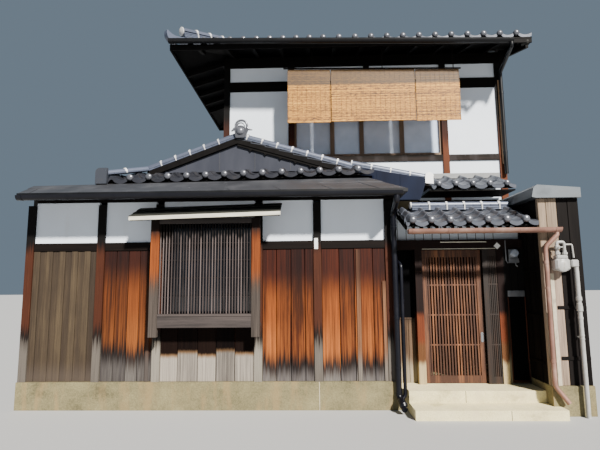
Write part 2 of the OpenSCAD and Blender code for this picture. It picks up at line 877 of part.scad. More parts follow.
// Front slope of the upper roof, with its round noses
module upper_roof_front() {
    color([0.25, 0.26, 0.28]) {
        upper_long_slope();
        nose_row([upper_eave_x + 120, upper_verge_x - 30], upper_eave_y, upper_eave_z - 14, 40);
    }
}

// Hipped slope over the left wall
module upper_roof_left() {
    color([0.25, 0.26, 0.28])
        intersection() {
            along_y([upper_eave_y, upper_back_y])
                translate([upper_eave_x, 0])
                    course_section(upper_run, upper_eave_z, upper_fall, courses_in(upper_run));
            linear_extrude(sky_z)
                polygon([
                    [upper_eave_x, upper_eave_y], [upper_hip_x, upper_ridge_y],
                    [upper_eave_x, upper_back_y]
                ]);
        }
}

// Rear slope of the upper roof
module upper_roof_rear() {
    color([0.25, 0.26, 0.28])
        translate([0, 2 * upper_ridge_y, 0])
            mirror([0, 1, 0])
                upper_long_slope();
}

// Main ridge and hip ridges of the upper roof
module upper_ridges() {
    top = [upper_hip_x, upper_ridge_y, upper_ridge_z];
    reach = 160;
    color([0.3, 0.31, 0.34]) {
        ridge_run(top - [60, 0, 0], [upper_verge_x, upper_ridge_y, upper_ridge_z], 160, 110, 58, 9);
        for (side = [-1, 1])
            ridge_run([upper_eave_x + reach, upper_ridge_y + side * (upper_run - reach),
                       upper_eave_z + upper_fall * reach],
                      top, 150, 150, 62, 7);
    }
}

// Side view of a rafter from its eave end to u_end
module rafter_section(u_end, depth) {
    polygon([
        [27, upper_under_z(27) - depth], [u_end, upper_under_z(u_end) - depth],
        [u_end, upper_under_z(u_end) - 1], [27, upper_under_z(27) - 1]
    ]);
}

// Rafters and edge boards under the overhangs of the upper roof
module upper_rafters() {
    depth = 72;
    rafter_w = 54;
    board_h = 105;
    back_out = front_depth + 90 - upper_eave_y;
    edge = [upper_eave_z - roof_t - board_h, upper_eave_z - roof_t];
    color([0.07, 0.06, 0.06]) {
        for (x = [upper_eave_x + 420 : 420 : upper_verge_x - rafter_w], back = [0, 1])
            translate([0, back * 2 * upper_ridge_y, 0])
                mirror([0, back, 0])
                    along_x([x, x + rafter_w])
                        translate([upper_eave_y, 0])
                            rafter_section(min(back_out, x - upper_eave_x - 60), depth);
        for (y = [front_depth + 200 : 420 : rear_y - 200])
            along_y([y, y + rafter_w])
                translate([upper_eave_x, 0])
                    rafter_section(back_out, depth);
        for (back = [0, 1])
            translate([0, back * 2 * upper_ridge_y, 0])
                mirror([0, back, 0])
                    block([upper_eave_x + 2, upper_verge_x - 2], [upper_eave_y + 2, upper_eave_y + 26],
                          edge);
        block([upper_eave_x + 2, upper_eave_x + 26], [upper_eave_y + 27, upper_back_y - 27], edge);
    }
}

// Gutters of the upper roof, with a rain pipe at the rear left and front right
module upper_gutter() {
    r = 58;
    z = upper_eave_z - roof_t - 50;
    y = upper_eave_y + 1 - r;
    x = upper_eave_x + 1 - r;
    pipe_y = front_depth - 45;
    side_x = upper_left_x - 45;
    color([0.1, 0.1, 0.11]) {
        gutter_between([x - 40, y, z], [upper_verge_x - 80, y, z], r);
        gutter_between([x, y + 75, z], [x, rear_y + 350, z], r);
        pipe([[3800, y, z - r + 4], [3800, y, z - 110], [3800, pipe_y, 4900], [3800, pipe_y, 3190]], 30);
        pipe([[x, rear_y + 100, z - r + 4], [x, rear_y + 100, z - 110], [side_x, 3700, 4700],
              [side_x, 3700, 3530]], 30);
    }
}

// Height of the pole's axis above x
function pole_z(x) = 4885 - 0.018 * (x - 262);

// Pole that carries the blinds, with its hooks
module blind_pole() {
    color([0.1, 0.08, 0.07]) {
        along_line([262, blind_y, pole_z(262)], [3030, blind_y, pole_z(3030)])
            circle(12, $fn = 16);
        for (x = [715, 1813, 2917])
            block([x - 8, x + 8], [blind_y - 8, blind_y + 8],
                  [pole_z(x), upper_under_z(blind_y - 8 - upper_eave_y)]);
    }
}

// Three bamboo blinds side by side
module bamboo_blinds() {
    color([0.8, 0.6, 0.36])
        along_y([blind_y - 12, blind_y + 12])
            for (x = blind_x)
                polygon([
                    [x[0], 3995], [x[1], 3995], [x[1], pole_z(x[1]) - 13], [x[0], pole_z(x[0]) - 13]
                ]);
}

// Narrow tiled roof between the storeys
module pent_roof() {
    color([0.25, 0.26, 0.28]) {
        along_x([right_eave_x + 60, pent_right_x])
            translate([pent_eave_y, 0])
                course_section(front_depth - pent_eave_y, pent_eave_z, pent_fall, 2);
        nose_row([right_eave_x + 80, pent_right_x - 40], pent_eave_y, pent_eave_z - 14, 38);
    }
}

// Tiled roof over the entrance, with its ridge bedded in the top course
module entrance_roof() {
    color([0.25, 0.26, 0.28]) {
        along_x([porch_left_x, porch_right_x])
            translate([porch_eave_y, 0])
                course_section(porch_ridge_y - porch_eave_y, porch_eave_z, porch_fall, 3);
        nose_row([porch_left_x + 60, porch_right_x], porch_eave_y, porch_eave_z - 14, 36);
        ridge_run([porch_left_x + 225, porch_ridge_y, porch_ridge_z - 40],
                  [porch_right_x - 80, porch_ridge_y, porch_ridge_z - 40], 120, 85, 42, 5);
    }
}

// Rafters under the entrance roof
module entrance_rafters() {
    depth = 50;
    run = inner_y - porch_eave_y;
    under_z = porch_eave_z - roof_t;
    color([0.1, 0.07, 0.06])
        for (x = [porch_left_x + 70 : 285 : porch_right_x - 60])
            along_x([x, x + 36])
                translate([porch_eave_y, 0])
                    polygon([
                        [50, under_z + porch_fall * 50 - depth], [run, under_z + porch_fall * run - depth],
                        [run, under_z + porch_fall * run], [50, under_z + porch_fall * 50]
                    ]);
}

// Copper gutter of the entrance roof and its rain pipe
module copper_gutter() {
    y = porch_eave_y - 45;
    pipe_y = annex_front_y - 62;
    color([0.58, 0.38, 0.32]) {
        gutter_between([1830, y, 2152], [3625, y, 2152], gutter_r);
        pipe([[3575, y, 2104], [3575, y, 2070], [3440, pipe_y, 1930], [3432, pipe_y, 340],
              [3560, -345, 160]], 27);
    }
}

// Posts and head of the door frame
module door_frame() {
    color([0.25, 0.14, 0.09]) {
        block([2020, 2112], [screen_y, inner_y], [landing_h, head_z]);
        block([3075, 3160], [screen_y, screen_y + 42], [landing_h, head_z]);
        block([recess_left_x, recess_right_x], [screen_y, inner_y + 50], [head_z, head_z + head_h]);
    }
}

// Sliding lattice door
module sliding_door() {
    stile = 64;
    rail = 92;
    bar_w = 19;
    cross_z = [465, 844, 1228];
    pitch = (door_w - 2 * stile) / door_bars;
    color([0.55, 0.3, 0.16])
        translate([door_x, door_y, door_base_z]) {
            for (x = [0, door_w - stile])
                block([x, x + stile], [0, door_t], [0, door_h]);
            for (z = [[0, rail], [door_h - rail, door_h]])
                block([stile, door_w - stile], [2, door_t - 2], z);
            along_y([8, 26]) {
                for (i = [0 : door_bars - 1])
                    translate([stile + (i + 0.5) * pitch - bar_w / 2, rail])
                        square([bar_w, door_h - 2 * rail]);
                for (z = cross_z)
                    translate([stile, z])
                        square([door_w - 2 * stile, 16]);
            }
        }
}

// Fixed lattice in front of the sliding door's path
module side_lattice() {
    left = 2895;
    right = 3073;
    stile = 64;
    bar_w = 14;
    bars = 5;
    pitch = (right - left - stile) / bars;
    base_z = landing_h;
    color([0.4, 0.23, 0.14])
        along_y([screen_y + 8, screen_y + 38]) {
            translate([left, base_z])
                square([stile, head_z - base_z]);
            for (i = [0 : bars - 1])
                translate([left + stile + (i + 0.5) * pitch - bar_w / 2, base_z])
                    square([bar_w, head_z - base_z]);
            for (z = [base_z, head_z - 92])
                translate([left, z])
                    square([right - left, 92]);
            for (z = [725, 1104, 1488])
                translate([left, z])
                    square([right - left, 16]);
        }
}

// Boarded walls beside the door, and the side wall of the front block
module entrance_walls() {
    color([0.18, 0.12, 0.1]) {
        translate([recess_left_x, inner_y + 8, landing_h])
            linear_extrude(head_z - landing_h)
                boards_outline(2112 - recess_left_x, 3, 34);
        translate([3160, screen_y + 6, landing_h])
            linear_extrude(head_z - landing_h)
                boards_outline(recess_right_x - 3160, 3, 34);
        block([recess_left_x - wall_t, recess_left_x], [wall_back_y, front_depth], [plinth_h, 2660]);
    }
}

// Boarded annex between the entrance and the right party wall
module annex_wall() {
    color([0.45, 0.36, 0.28]) {
        block([recess_right_x, plot_right_x], [annex_front_y, annex_front_y + 58],
              [plinth_h, annex_top_z]);
        block([recess_right_x, recess_right_x + 58], [annex_front_y + 60, front_depth],
              [plinth_h, annex_top_z]);
    }
}

// Bent sheet-metal cap over the annex
module annex_cap() {
    cap_z = annex_top_z;
    color([0.55, 0.57, 0.58])
        along_y([annex_front_y - 60, front_depth])
            polygon([
                [recess_right_x - 90, cap_z + 10], [recess_right_x - 40, cap_z],
                [plot_right_x + 10, cap_z], [plot_right_x + 10, cap_z + 120],
                [recess_right_x - 20, cap_z + 160], [recess_right_x - 65, cap_z + 125]
            ]);
}

// Gas meter with its pipework and the riser beside it
module gas_meter() {
    y = annex_front_y - 90;
    color([0.8, 0.8, 0.78]) {
        block([3505, 3745], [y - 50, y + 89], [1640, 1800]);
        block([3560, 3690], [y - 30, y + 60], [1800, 1900]);
        pipe([[3600, y, 1890], [3600, y, 1990], [3765, y, 1990], [3765, y, 0]], 24);
    }
}

// Electricity meter on the boards beside the door
module electric_meter() {
    color([0.3, 0.3, 0.3]) {
        block([3225, 3350], [screen_y - 40, screen_y + 6], [1820, 1940]);
        translate([3287, screen_y - 39, 1890])
            rotate([90, 0, 0])
                cylinder(h = 45, r = 55, $fn = 32);
    }
}

// Plate of the letter slot
module letter_slot() {
    color([0.3, 0.3, 0.31])
        difference() {
            block([3190, 3405], [screen_y - 4, screen_y + 6], [1335, 1410]);
            block([3215, 3380], [screen_y - 9, screen_y + 2], [1358, 1388]);
        }
}

plinth();
entrance_steps();
ground_floor();
upper_floor();
front_posts();
front_boards();
front_plaster();
wall_beams();
party_wall_left();
party_wall_right();
rear_wall();
bay_frame();
bay_lattice();
bay_hood();
bay_window();
metal_eave();
front_gutter();
low_roofs();
skirt_tiles();
front_roof_left();
front_roof_right();
roof_purlins();
gable_panels();
side_eave_box();
front_roof_ridges();
ridge_ornament();
upper_wall_front();
upper_wall_rear();
upper_side_walls();
upper_posts();
upper_beams();
upper_windows();
upper_glass();
upper_roof_front();
upper_roof_left();
upper_roof_rear();
upper_ridges();
upper_rafters();
upper_gutter();
blind_pole();
bamboo_blinds();
pent_roof();
entrance_roof();
entrance_rafters();
copper_gutter();
door_frame();
sliding_door();
side_lattice();
entrance_walls();
annex_wall();
annex_cap();
gas_meter();
electric_meter();
letter_slot();
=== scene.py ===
"""Looks of a two-storey machiya townhouse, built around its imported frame.

Metres, with +X along the street, +Y into the plot and +Z up. Tiles, boards, slats, metalwork,
fittings and finishes are made here; walls, posts, frames and the door stay as the frame has them.
"""

import math
import random

import bmesh
import bpy
import numpy as np
from mathutils import Matrix, Vector


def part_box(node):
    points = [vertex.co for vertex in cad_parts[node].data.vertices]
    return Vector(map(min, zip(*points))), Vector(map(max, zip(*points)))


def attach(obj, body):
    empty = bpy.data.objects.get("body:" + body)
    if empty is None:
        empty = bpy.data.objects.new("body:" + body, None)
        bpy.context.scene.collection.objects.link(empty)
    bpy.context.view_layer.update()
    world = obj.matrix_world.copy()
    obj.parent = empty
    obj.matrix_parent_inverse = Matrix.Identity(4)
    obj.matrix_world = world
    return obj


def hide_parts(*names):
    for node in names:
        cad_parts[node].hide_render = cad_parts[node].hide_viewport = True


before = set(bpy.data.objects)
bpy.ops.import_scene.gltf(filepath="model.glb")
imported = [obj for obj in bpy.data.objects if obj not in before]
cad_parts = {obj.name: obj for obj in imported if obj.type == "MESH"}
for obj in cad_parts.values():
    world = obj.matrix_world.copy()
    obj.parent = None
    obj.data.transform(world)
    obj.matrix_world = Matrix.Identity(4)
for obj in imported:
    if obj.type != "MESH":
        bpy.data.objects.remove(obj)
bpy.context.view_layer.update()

UP = Vector((0, 0, 1))
TO_STREET = (0, -1, 0)
SQUARE = ((-1, -1), (1, -1), (1, 1), (-1, 1))

# Camera, solved from the photograph's own lines
PHOTO_W = 600
FOCAL_PX = 449.73
EYE = Vector((0.688, -5.704, 1.546))
YAW, PITCH, ROLL = -0.0274, 0.1257, -0.0086

# Tiles
TILE_PITCH = 0.25
TILE_COURSE = 0.215
TILE_STEP = 0.02
TILE_LIP = 0.017
TILE_LAP = 0.012
ROLL_SHARE = 0.31
ROLL_H = 0.036
TROUGH_H = 0.03
APRON_H = 0.052
ROOF_T = 0.09
BED_DROP = 0.072
NOSE_R = 0.044
NOSE_DOME = ((0.0, 0.96), (0.026, 1.0), (0.032, 0.97), (0.038, 0.86), (0.044, 0.66), (0.048, 0.42),
             (0.0505, 0.2), (0.051, 0.02))

# Front wall
WALL_LEFT_X, WALL_RIGHT_X = -2.9, 3.78
POST_X = (-2.965, -2.037, -1.282, 0.0, 0.749, 1.655)
POST_HALF = 0.05
PLINTH_Z = 0.333
RAIL_Z, RAIL_TOP_Z = 1.962, 2.067
BEAM_Z = 2.595
BAY = 2
BAY_X = (-1.312, 0.045)
BAY_SILL_Z, BAY_TOP_Z = 1.006, 2.275
BOARD_WIDTHS = (
    (),
    (0.205, 0.205, 0.19, 0.25),
    (0.215, 0.25, 0.225, 0.235, 0.24),
    (0.205, 0.215, 0.205, 0.13),
    (0.235, 0.20, 0.25, 0.17),
)

# Front roof
RIDGE_X, RIDGE_Z = -0.393, 3.655
LEFT_FALL, RIGHT_FALL, LOWER_FALL = 0.372, 0.296, 0.17
LEFT_EAVE_X, RIGHT_EAVE_X = -2.22, 2.39
SKIRT_TOP_Z = 3.165
SKIRT_EAVE_Y, SKIRT_EAVE_Z = 0.15, 2.995
SKIRT_TILT = math.tan(math.radians(1.4))
SKIRT_MID_X, SKIRT_RIGHT_X = -0.23, 1.52
GABLE_Y, VERGE_Y, VERGE_STEP = 0.69, 0.65, 0.2187
FRONT_DEPTH, REAR_Y = 1.5, 3.9
GABLE_LEFT_X = RIDGE_X - (RIDGE_Z - SKIRT_TOP_Z) / LEFT_FALL
GABLE_RIGHT_X = RIDGE_X + (RIDGE_Z - SKIRT_TOP_Z) / RIGHT_FALL
LEFT_EAVE_Z = RIDGE_Z - LEFT_FALL * (RIDGE_X - LEFT_EAVE_X)
RIGHT_EAVE_Z = SKIRT_TOP_Z - LOWER_FALL * (RIGHT_EAVE_X - GABLE_RIGHT_X)
METAL_FRONT = (-2.918, 1.835, -0.4, 2.645)
SIDE_BOX_X, SIDE_BOX_Z = 2.225, 2.69

# Upper storey
UPPER_LEFT_X, UPPER_RIGHT_X = -0.77, 3.85
UPPER_EAVE_X, UPPER_VERGE_X = -1.48, 4.04
UPPER_EAVE_Y, UPPER_EAVE_Z, UPPER_FALL = 0.78, 5.264, 0.3
UPPER_RUN = 1.92
UPPER_RIDGE_Y = UPPER_EAVE_Y + UPPER_RUN
UPPER_RIDGE_Z = UPPER_EAVE_Z + UPPER_FALL * UPPER_RUN
UPPER_HIP_X = UPPER_EAVE_X + UPPER_RUN
SASH_X = (0.411, 1.04, 1.525, 2.19, 2.84)
WINDOW_Z = (3.59, 4.73)

# Small roofs
PENT_X = (2.45, 3.72)
PENT_EAVE_Y, PENT_EAVE_Z, PENT_FALL = 0.93, 2.98, 0.43
PORCH_X = (1.80, 3.40)
PORCH_EAVE_Y, PORCH_EAVE_Z, PORCH_FALL = -0.29, 2.275, 0.4
PORCH_RIDGE_Y = 0.33

# Entrance and annex
RECESS_X = (1.735, 3.42)
INNER_Y, SCREEN_Y, DOOR_Y = 0.33, 0.22, 0.27
LANDING_Z, HEAD_Z = 0.247, 1.951
ANNEX_X, ANNEX_Y, ANNEX_TOP_Z = (3.42, 3.9), -0.25, 2.525

rng = random.Random(7)


class Shape:
    """Points and faces of one piece, gathered before Blender makes its mesh."""

    def __init__(self):
        self.points, self.faces, self.tones, self.smooth = [], [], [], []

    def add(self, points, faces, tone=0.5, smooth=False):
        base = len(self.points)
        self.points.extend(tuple(p) for p in points)
        self.faces.extend(tuple(base + i for i in face) for face in faces)
        self.tones.extend([tone] * len(faces))
        self.smooth.extend([smooth] * len(faces))

    def box(self, lo, hi, bevel=0.002, tone=0.5, turn=None):
        """A block with chamfered edges; turn is a matrix applied about the world origin."""
        lo, hi = Vector(lo), Vector(hi)
        bevel = min(bevel, 0.3 * min(hi - lo))
        points, faces = [], []
        for corner in np.ndindex(2, 2, 2):
            for axis in range(3):
                p = Vector([hi[a] - bevel if corner[a] else lo[a] + bevel for a in range(3)])
                p[axis] = (lo, hi)[corner[axis]][axis]
                points.append(p if turn is None else turn @ p)
        # A corner has three points, one on each of its faces; step leads on to the next corner's
        step = (12, 6, 3)
        for a, b, c in ((0, 1, 2), (1, 2, 0), (2, 0, 1)):
            for side in (0, 1):
                ring = [a + step[a] * side + step[b] * (sb > 0) + step[c] * (sc > 0) for sb, sc in SQUARE]
                faces.append(ring if side else ring[::-1])
            for sb, sc in np.ndindex(2, 2):
                near = step[b] * sb + step[c] * sc
                far = near + step[a]
                quad = [near + b, far + b, far + c, near + c]
                faces.append(quad if sb != sc else quad[::-1])
        for k, corner in enumerate(np.ndindex(2, 2, 2)):
            tri = [3 * k, 3 * k + 1, 3 * k + 2]
            faces.append(tri if sum(corner) % 2 else tri[::-1])
        self.add(points, faces, tone)

    def loft(self, first, last, tone=0.5):
        """A solid between two rings of equally many points."""
        n = len(first)
        faces = [range(n - 1, -1, -1), range(n, 2 * n)]
        faces += [(i, (i + 1) % n, n + (i + 1) % n, n + i) for i in range(n)]
        self.add([*first, *last], faces, tone)

    def plate(self, outline, y0, y1, tone=0.5):
        """An outline in X and Z between two planes that face the street."""
        self.loft(*([(x, y, z) for x, z in outline] for y in (y1, y0)), tone)

    def beam(self, outline, x0, x1, tone=0.5, turn=Matrix()):
        """An outline in Y and Z between two X, turned by a matrix."""
        self.loft(*([turn @ Vector((x, y, z)) for y, z in outline] for x in (x0, x1)), tone)

    def rings(self, rings, tone=0.5, closed=True, caps=True):
        """A smooth skin over rings of equally many points, and flat caps."""
        n = len(rings[0])
        points = [p for ring in rings for p in ring]
        faces = [
            (r * n + i, r * n + (i + 1) % n, (r + 1) * n + (i + 1) % n, (r + 1) * n + i)
            for r in range(len(rings) - 1)
            for i in range(n if closed else n - 1)
        ]
        self.add(points, faces, tone, True)
        if caps:
            # Faces over the points just added count back from the last of them
            ends = (range(n - 1, -1, -1), range(len(points) - n, len(points)))
            self.add([], [[i - len(points) for i in end] for end in ends], tone)

    def tube(self, path, radius, sides=16, tone=0.5):
        """A round tube along points; radius is one number or a list with one for each point."""
        path = [Vector(p) for p in path]
        radii = radius if isinstance(radius, list) else [radius] * len(path)
        normal = None
        rings = []
        for i, p in enumerate(path):
            ahead = (path[min(i + 1, len(path) - 1)] - path[max(i - 1, 0)]).normalized()
            if normal is None:
                normal = ahead.orthogonal().normalized()
            normal = (normal - ahead * normal.dot(ahead)).normalized()
            rings.append(hoop(p, radii[i], normal, ahead.cross(normal), sides))
        self.rings(rings, tone)

    def revolve(self, profile, origin, axis, sides, tone=0.5):
        """Rings of (distance along the axis, radius) about a line from origin."""
        axis = Vector(axis).normalized()
        u = axis.orthogonal().normalized()
        v = axis.cross(u)
        self.rings([hoop(Vector(origin) + axis * d, r, u, v, sides) for d, r in profile], tone)

    def piece(self, name, look, slot, nodes=(), body="house", clip=(), gone=None, sharp=35):
        """Makes the mesh, cuts it by planes, takes away faces by their centre, and seats it on its body."""
        mesh = bpy.data.meshes.new(name)
        mesh.from_pydata(self.points, [], self.faces)
        mesh.polygons.foreach_set("use_smooth", self.smooth)
        mesh.attributes.new("tone", "FLOAT", "FACE").data.foreach_set("value", self.tones)
        mesh.update()
        if clip:
            bm = bmesh.new()
            bm.from_mesh(mesh)
            for point, normal in clip:
                geometry = bm.verts[:] + bm.edges[:] + bm.faces[:]
                bmesh.ops.bisect_plane(
                    bm, geom=geometry, plane_co=point, plane_no=normal, clear_outer=True, dist=1e-5)
            if gone:
                faces = [face for face in bm.faces if gone(face.calc_center_median())]
                bmesh.ops.delete(bm, geom=faces, context="FACES")
            bm.to_mesh(mesh)
            bm.free()
        mesh.set_sharp_from_angle(angle=math.radians(sharp))
        obj = bpy.data.objects.new(name, mesh)
        bpy.context.scene.collection.objects.link(obj)
        mesh.materials.append(LOOKS[look])
        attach(obj, body)
        if nodes:
            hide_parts(*nodes)


def hoop(centre, r, u, v, sides):
    """Points of a circle about a centre, in the plane of two directions."""
    angles = np.linspace(0, 2 * math.pi, sides, endpoint=False)
    return [centre + r * (math.cos(a) * u + math.sin(a) * v) for a in angles]


def arc(centre, radius, start, end, count):
    """Points on a circle between two angles in degrees."""
    angles = [math.radians(a) for a in np.linspace(start, end, count)]
    return [(centre[0] + radius * math.cos(a), centre[1] + radius * math.sin(a)) for a in angles]


def plane(x, y, normal_x, normal_y):
    """An upright plane that cuts away what lies on the side its normal points to."""
    return Vector((x, y, 0)), Vector((normal_x, normal_y, 0)).normalized()


class Look:
    """A procedural material, built socket by socket."""

    def __init__(self, name, roughness=0.6, metallic=0.0, **fixed):
        self.material = bpy.data.materials.new(name)
        self.material.use_nodes = True
        self.tree = self.material.node_tree
        self.shader = self.tree.nodes["Principled BSDF"]
        for socket, value in {"Roughness": roughness, "Metallic": metallic, **fixed}.items():
            self.shader.inputs[socket.replace("_", " ")].default_value = value
        self.place = self.node("ShaderNodeTexCoord").outputs["Object"]

    def node(self, kind, inputs=None, **settings):
        made = self.tree.nodes.new(kind)
        for key, value in settings.items():
            setattr(made, key, value)
        for key, value in (inputs or {}).items():
            self.feed(made.inputs[key], value)
        return made

    def feed(self, socket, value):
        """Links a field to a socket, or sets the socket to a number, place or colour."""
        if isinstance(value, bpy.types.NodeSocket):
            self.tree.links.new(value, socket)
        elif hasattr(value, "__len__") and socket.type == "RGBA":
            socket.default_value = (*value, 1)
        else:
            socket.default_value = value

    def tone(self):
        return self.node("ShaderNodeAttribute", attribute_name="tone").outputs["Fac"]

    def axis(self, name):
        return self.node("ShaderNodeSeparateXYZ", {"Vector": self.place}).outputs[name]

    def noise(self, scale, detail, rough=0.55):
        """Noise with one scale, or with its own along X, Y and Z."""
        scale = scale if hasattr(scale, "__len__") else (scale,) * 3
        spot = self.node("ShaderNodeMapping", {"Vector": self.place, "Scale": scale}).outputs[0]
        settings = {"Vector": spot, "Scale": 1.0, "Detail": detail, "Roughness": rough}
        return self.node("ShaderNodeTexNoise", settings).outputs["Fac"]

    def math(self, operation, a, b):
        return self.node("ShaderNodeMath", {0: a, 1: b}, operation=operation).outputs[0]

    def blend(self, *parts):
        """The sum of fields, each given with its share."""
        total = None
        for value, share in parts:
            part = self.math("MULTIPLY", value, share)
            total = part if total is None else self.math("ADD", total, part)
        return total

    def between(self, value, low, high):
        """0 at low and 1 at high, eased."""
        inputs = {"Value": value, "From Min": low, "From Max": high}
        return self.node("ShaderNodeMapRange", inputs, interpolation_type="SMOOTHSTEP").outputs[0]

    def ramp(self, value, *stops):
        made = self.node("ShaderNodeValToRGB", {"Fac": value})
        ramp = made.color_ramp
        while len(ramp.elements) < len(stops):
            ramp.elements.new(0.5)
        for element, (place, colour) in zip(ramp.elements, stops):
            element.position = place
            element.color = (*colour, 1)
        return made.outputs["Color"]

    def mix(self, share, a, b):
        return self.node("ShaderNodeMix", {0: share, 6: a, 7: b}, data_type="RGBA").outputs[2]

    def stain(self, colour, field, low, high, share, other):
        """Lays a share of another colour where the field goes from low to high."""
        return self.mix(self.math("MULTIPLY", self.between(field, low, high), share), colour, other)

    def done(self, colour, bump=None, rough=None):
        """Joins colour, bump (field, strength, distance) and roughness (field, low, high) to the shader."""
        self.feed(self.shader.inputs["Base Color"], colour)
        if bump:
            made = self.node("ShaderNodeBump", dict(zip(("Height", "Strength", "Distance"), bump)))
            self.feed(self.shader.inputs["Normal"], made.outputs[0])
        if rough:
            made = self.node("ShaderNodeMapRange", dict(zip(("Value", "To Min", "To Max"), rough)))
            self.feed(self.shader.inputs["Roughness"], made.outputs[0])
        return self.material


def shade(colour, share):
    return tuple(min(1.0, c * share) for c in colour)


def tile_look(name, colour, roughness, metallic, blotch=0.3):
    """Smoked clay tile: silver-grey, a little different from tile to tile."""
    look = Look(name, metallic=metallic)
    spots = look.noise(9, 4)
    fine = look.noise(90, 3)
    by_tile = look.ramp(look.tone(), (0.0, shade(colour, 0.6)), (0.5, colour), (1.0, shade(colour, 1.6)))
    dirty = look.stain(by_tile, spots, 0.52, 0.75, blotch, (0.06, 0.052, 0.045))
    worn = look.blend((spots, 0.5), (fine, 0.5))
    return look.done(dirty, (fine, 0.2, 0.002), (worn, roughness - 0.08, roughness + 0.3))


def timber_look(name, dark, light, along="Z", streaks=1.0, grey=None, shine=0.4, shade_above=None):
    """Planed or weathered timber with its grain along one axis, grey in patches and darker above a height as
    painted shade.
    """
    look = Look(name, Specular_IOR_Level=shine)

    def grain(across, length, detail):
        return look.noise([length if axis == along else across for axis in "XYZ"], detail, 0.6)

    broad = grain(16.0, 0.8, 4)
    narrow = grain(150.0, 5.0, 3)
    tone = look.math("SUBTRACT", look.tone(), 0.5)
    mixed = look.blend((broad, 0.65 * streaks), (narrow, 0.35), (tone, 0.35))
    colour = look.ramp(mixed, (0.3, dark), (0.7, light))
    if grey is not None:
        colour = look.mix(look.between(look.noise((5, 5, 2), 4), 0.5, 0.68), colour, grey)
    if shade_above is not None:
        # Above the height the colour darkens: painted shade under the eave
        colour = look.mix(look.between(look.axis("Z"), shade_above, shade_above + 0.1), colour, shade(dark, 0.3))
    return look.done(colour, (narrow, 0.35, 0.002), (narrow, 0.5, 0.82))


def banded_look(name, bands, ragged, soft, lift=None, stains=None, variety=0.42, shine=0.15,
                pale_between=None):
    """Weathered upright timber: bands are (height of the band's top, its dark, its light), from the foot up.

    The bands' edges are ragged along the grain, and a fourth value in a band softens its upper edge.
    Lift raises what lies right of its X by its height, and what lies left of it is a little darker, as
    painted shade.
    Variety is how much the boards differ, and a foot outside pale_between is less bleached.
    """
    look = Look(name, Specular_IOR_Level=shine)
    streak = look.noise((60, 60, 0.9), 4, 0.6)
    broad = look.noise((15, 15, 0.7), 4, 0.65)
    fine = look.noise((230, 230, 4), 3, 0.65)
    line = look.noise((420, 420, 1.6), 2, 0.5)
    tone = look.math("SUBTRACT", look.tone(), 0.5)
    x = look.axis("X")
    height = look.blend((look.axis("Z"), 1.0), (look.math("SUBTRACT", streak, 0.5), ragged), (tone, 0.12))
    if lift is not None:
        left, right = lift[0] - 0.15, lift[0] + 0.15
        height = look.blend((height, 1.0), (look.between(x, left, right), lift[1]))
    mixed = look.blend((streak, 0.5), (broad, 0.3), (fine, 0.2), (tone, variety))
    colour = None
    for top, dark, light, *softer in bands:
        band = look.ramp(mixed, (0.35, dark), (0.64, light))
        if colour is not None:
            band = look.mix(look.between(height, below - edge, below + edge), colour, band)
        colour, below, edge = band, top, softer[0] if softer else soft
    if pale_between is not None:
        start, end = pale_between
        outside = look.math("ADD", look.between(x, start, start - 0.1), look.between(x, end, end + 0.1))
        foot = look.math("MULTIPLY", look.between(height, 0.82, 0.72), outside)
        colour = look.mix(look.math("MULTIPLY", foot, 0.7), colour, (0.055, 0.045, 0.04))
    if lift is not None:
        # Left of lift's X the colour darkens: painted shade
        colour = look.stain(colour, x, right, left, 0.52, bands[1][1])
    colour = look.stain(colour, line, 0.55, 0.68, 0.65, shade(bands[-1][1], 0.6))
    if stains is not None:
        colour = look.stain(colour, broad, 0.55, 0.75, 0.5, stains)
    relief = look.blend((fine, 0.6), (line, 0.8), (streak, 0.5))
    return look.done(colour, (relief, 0.5, 0.003), (fine, 0.5, 0.88))


def olive_board_look():
    """Narrow olive-brown boards at the left end of the front wall."""
    look = Look("olive_boards", 0.75, Specular_IOR_Level=0.3)
    broad = look.noise((22, 22, 0.5), 4, 0.6)
    fine = look.noise((170, 170, 3), 3, 0.6)
    cloud = look.noise((2.2, 2.2, 1.6), 4, 0.6)
    mixed = look.blend((broad, 0.34), (fine, 0.3), (look.tone(), 0.2), (cloud, 0.16))
    colour = look.ramp(
        mixed, (0.34, (0.011, 0.0065, 0.004)), (0.5, (0.032, 0.021, 0.012)), (0.66, (0.074, 0.052, 0.028)))
    spot = look.node("ShaderNodeMapping", {"Vector": look.place, "Scale": (9, 9, 3.4)}).outputs[0]
    knots = look.node("ShaderNodeTexVoronoi", {"Vector": spot}).outputs["Distance"]
    colour = look.stain(colour, knots, 0.1, 0.03, 0.7, (0.03, 0.018, 0.014))
    colour = look.stain(colour, look.axis("Z"), 0.62, 0.36, 0.4, (0.08, 0.062, 0.05))
    return look.done(colour, (fine, 0.5, 0.002))


def plaster_look(name="plaster", colour=(0.76, 0.83, 0.93)):
    """Trowelled lime plaster with faint stains; the default colour's blue tint is painted sky-lit shade."""
    look = Look(name, 0.86)
    cloud = look.noise((1.6, 1.6, 1.1), 5, 0.6)
    stain = look.noise((5, 5, 0.9), 4, 0.6)
    fine = look.noise(70, 4, 0.6)
    base = look.ramp(cloud, (0.35, shade(colour, 0.93)), (0.65, colour))
    base = look.stain(base, stain, 0.56, 0.8, 0.2, (0.60, 0.58, 0.56))
    return look.done(base, (look.blend((fine, 1.0), (cloud, 0.8)), 0.18, 0.003))


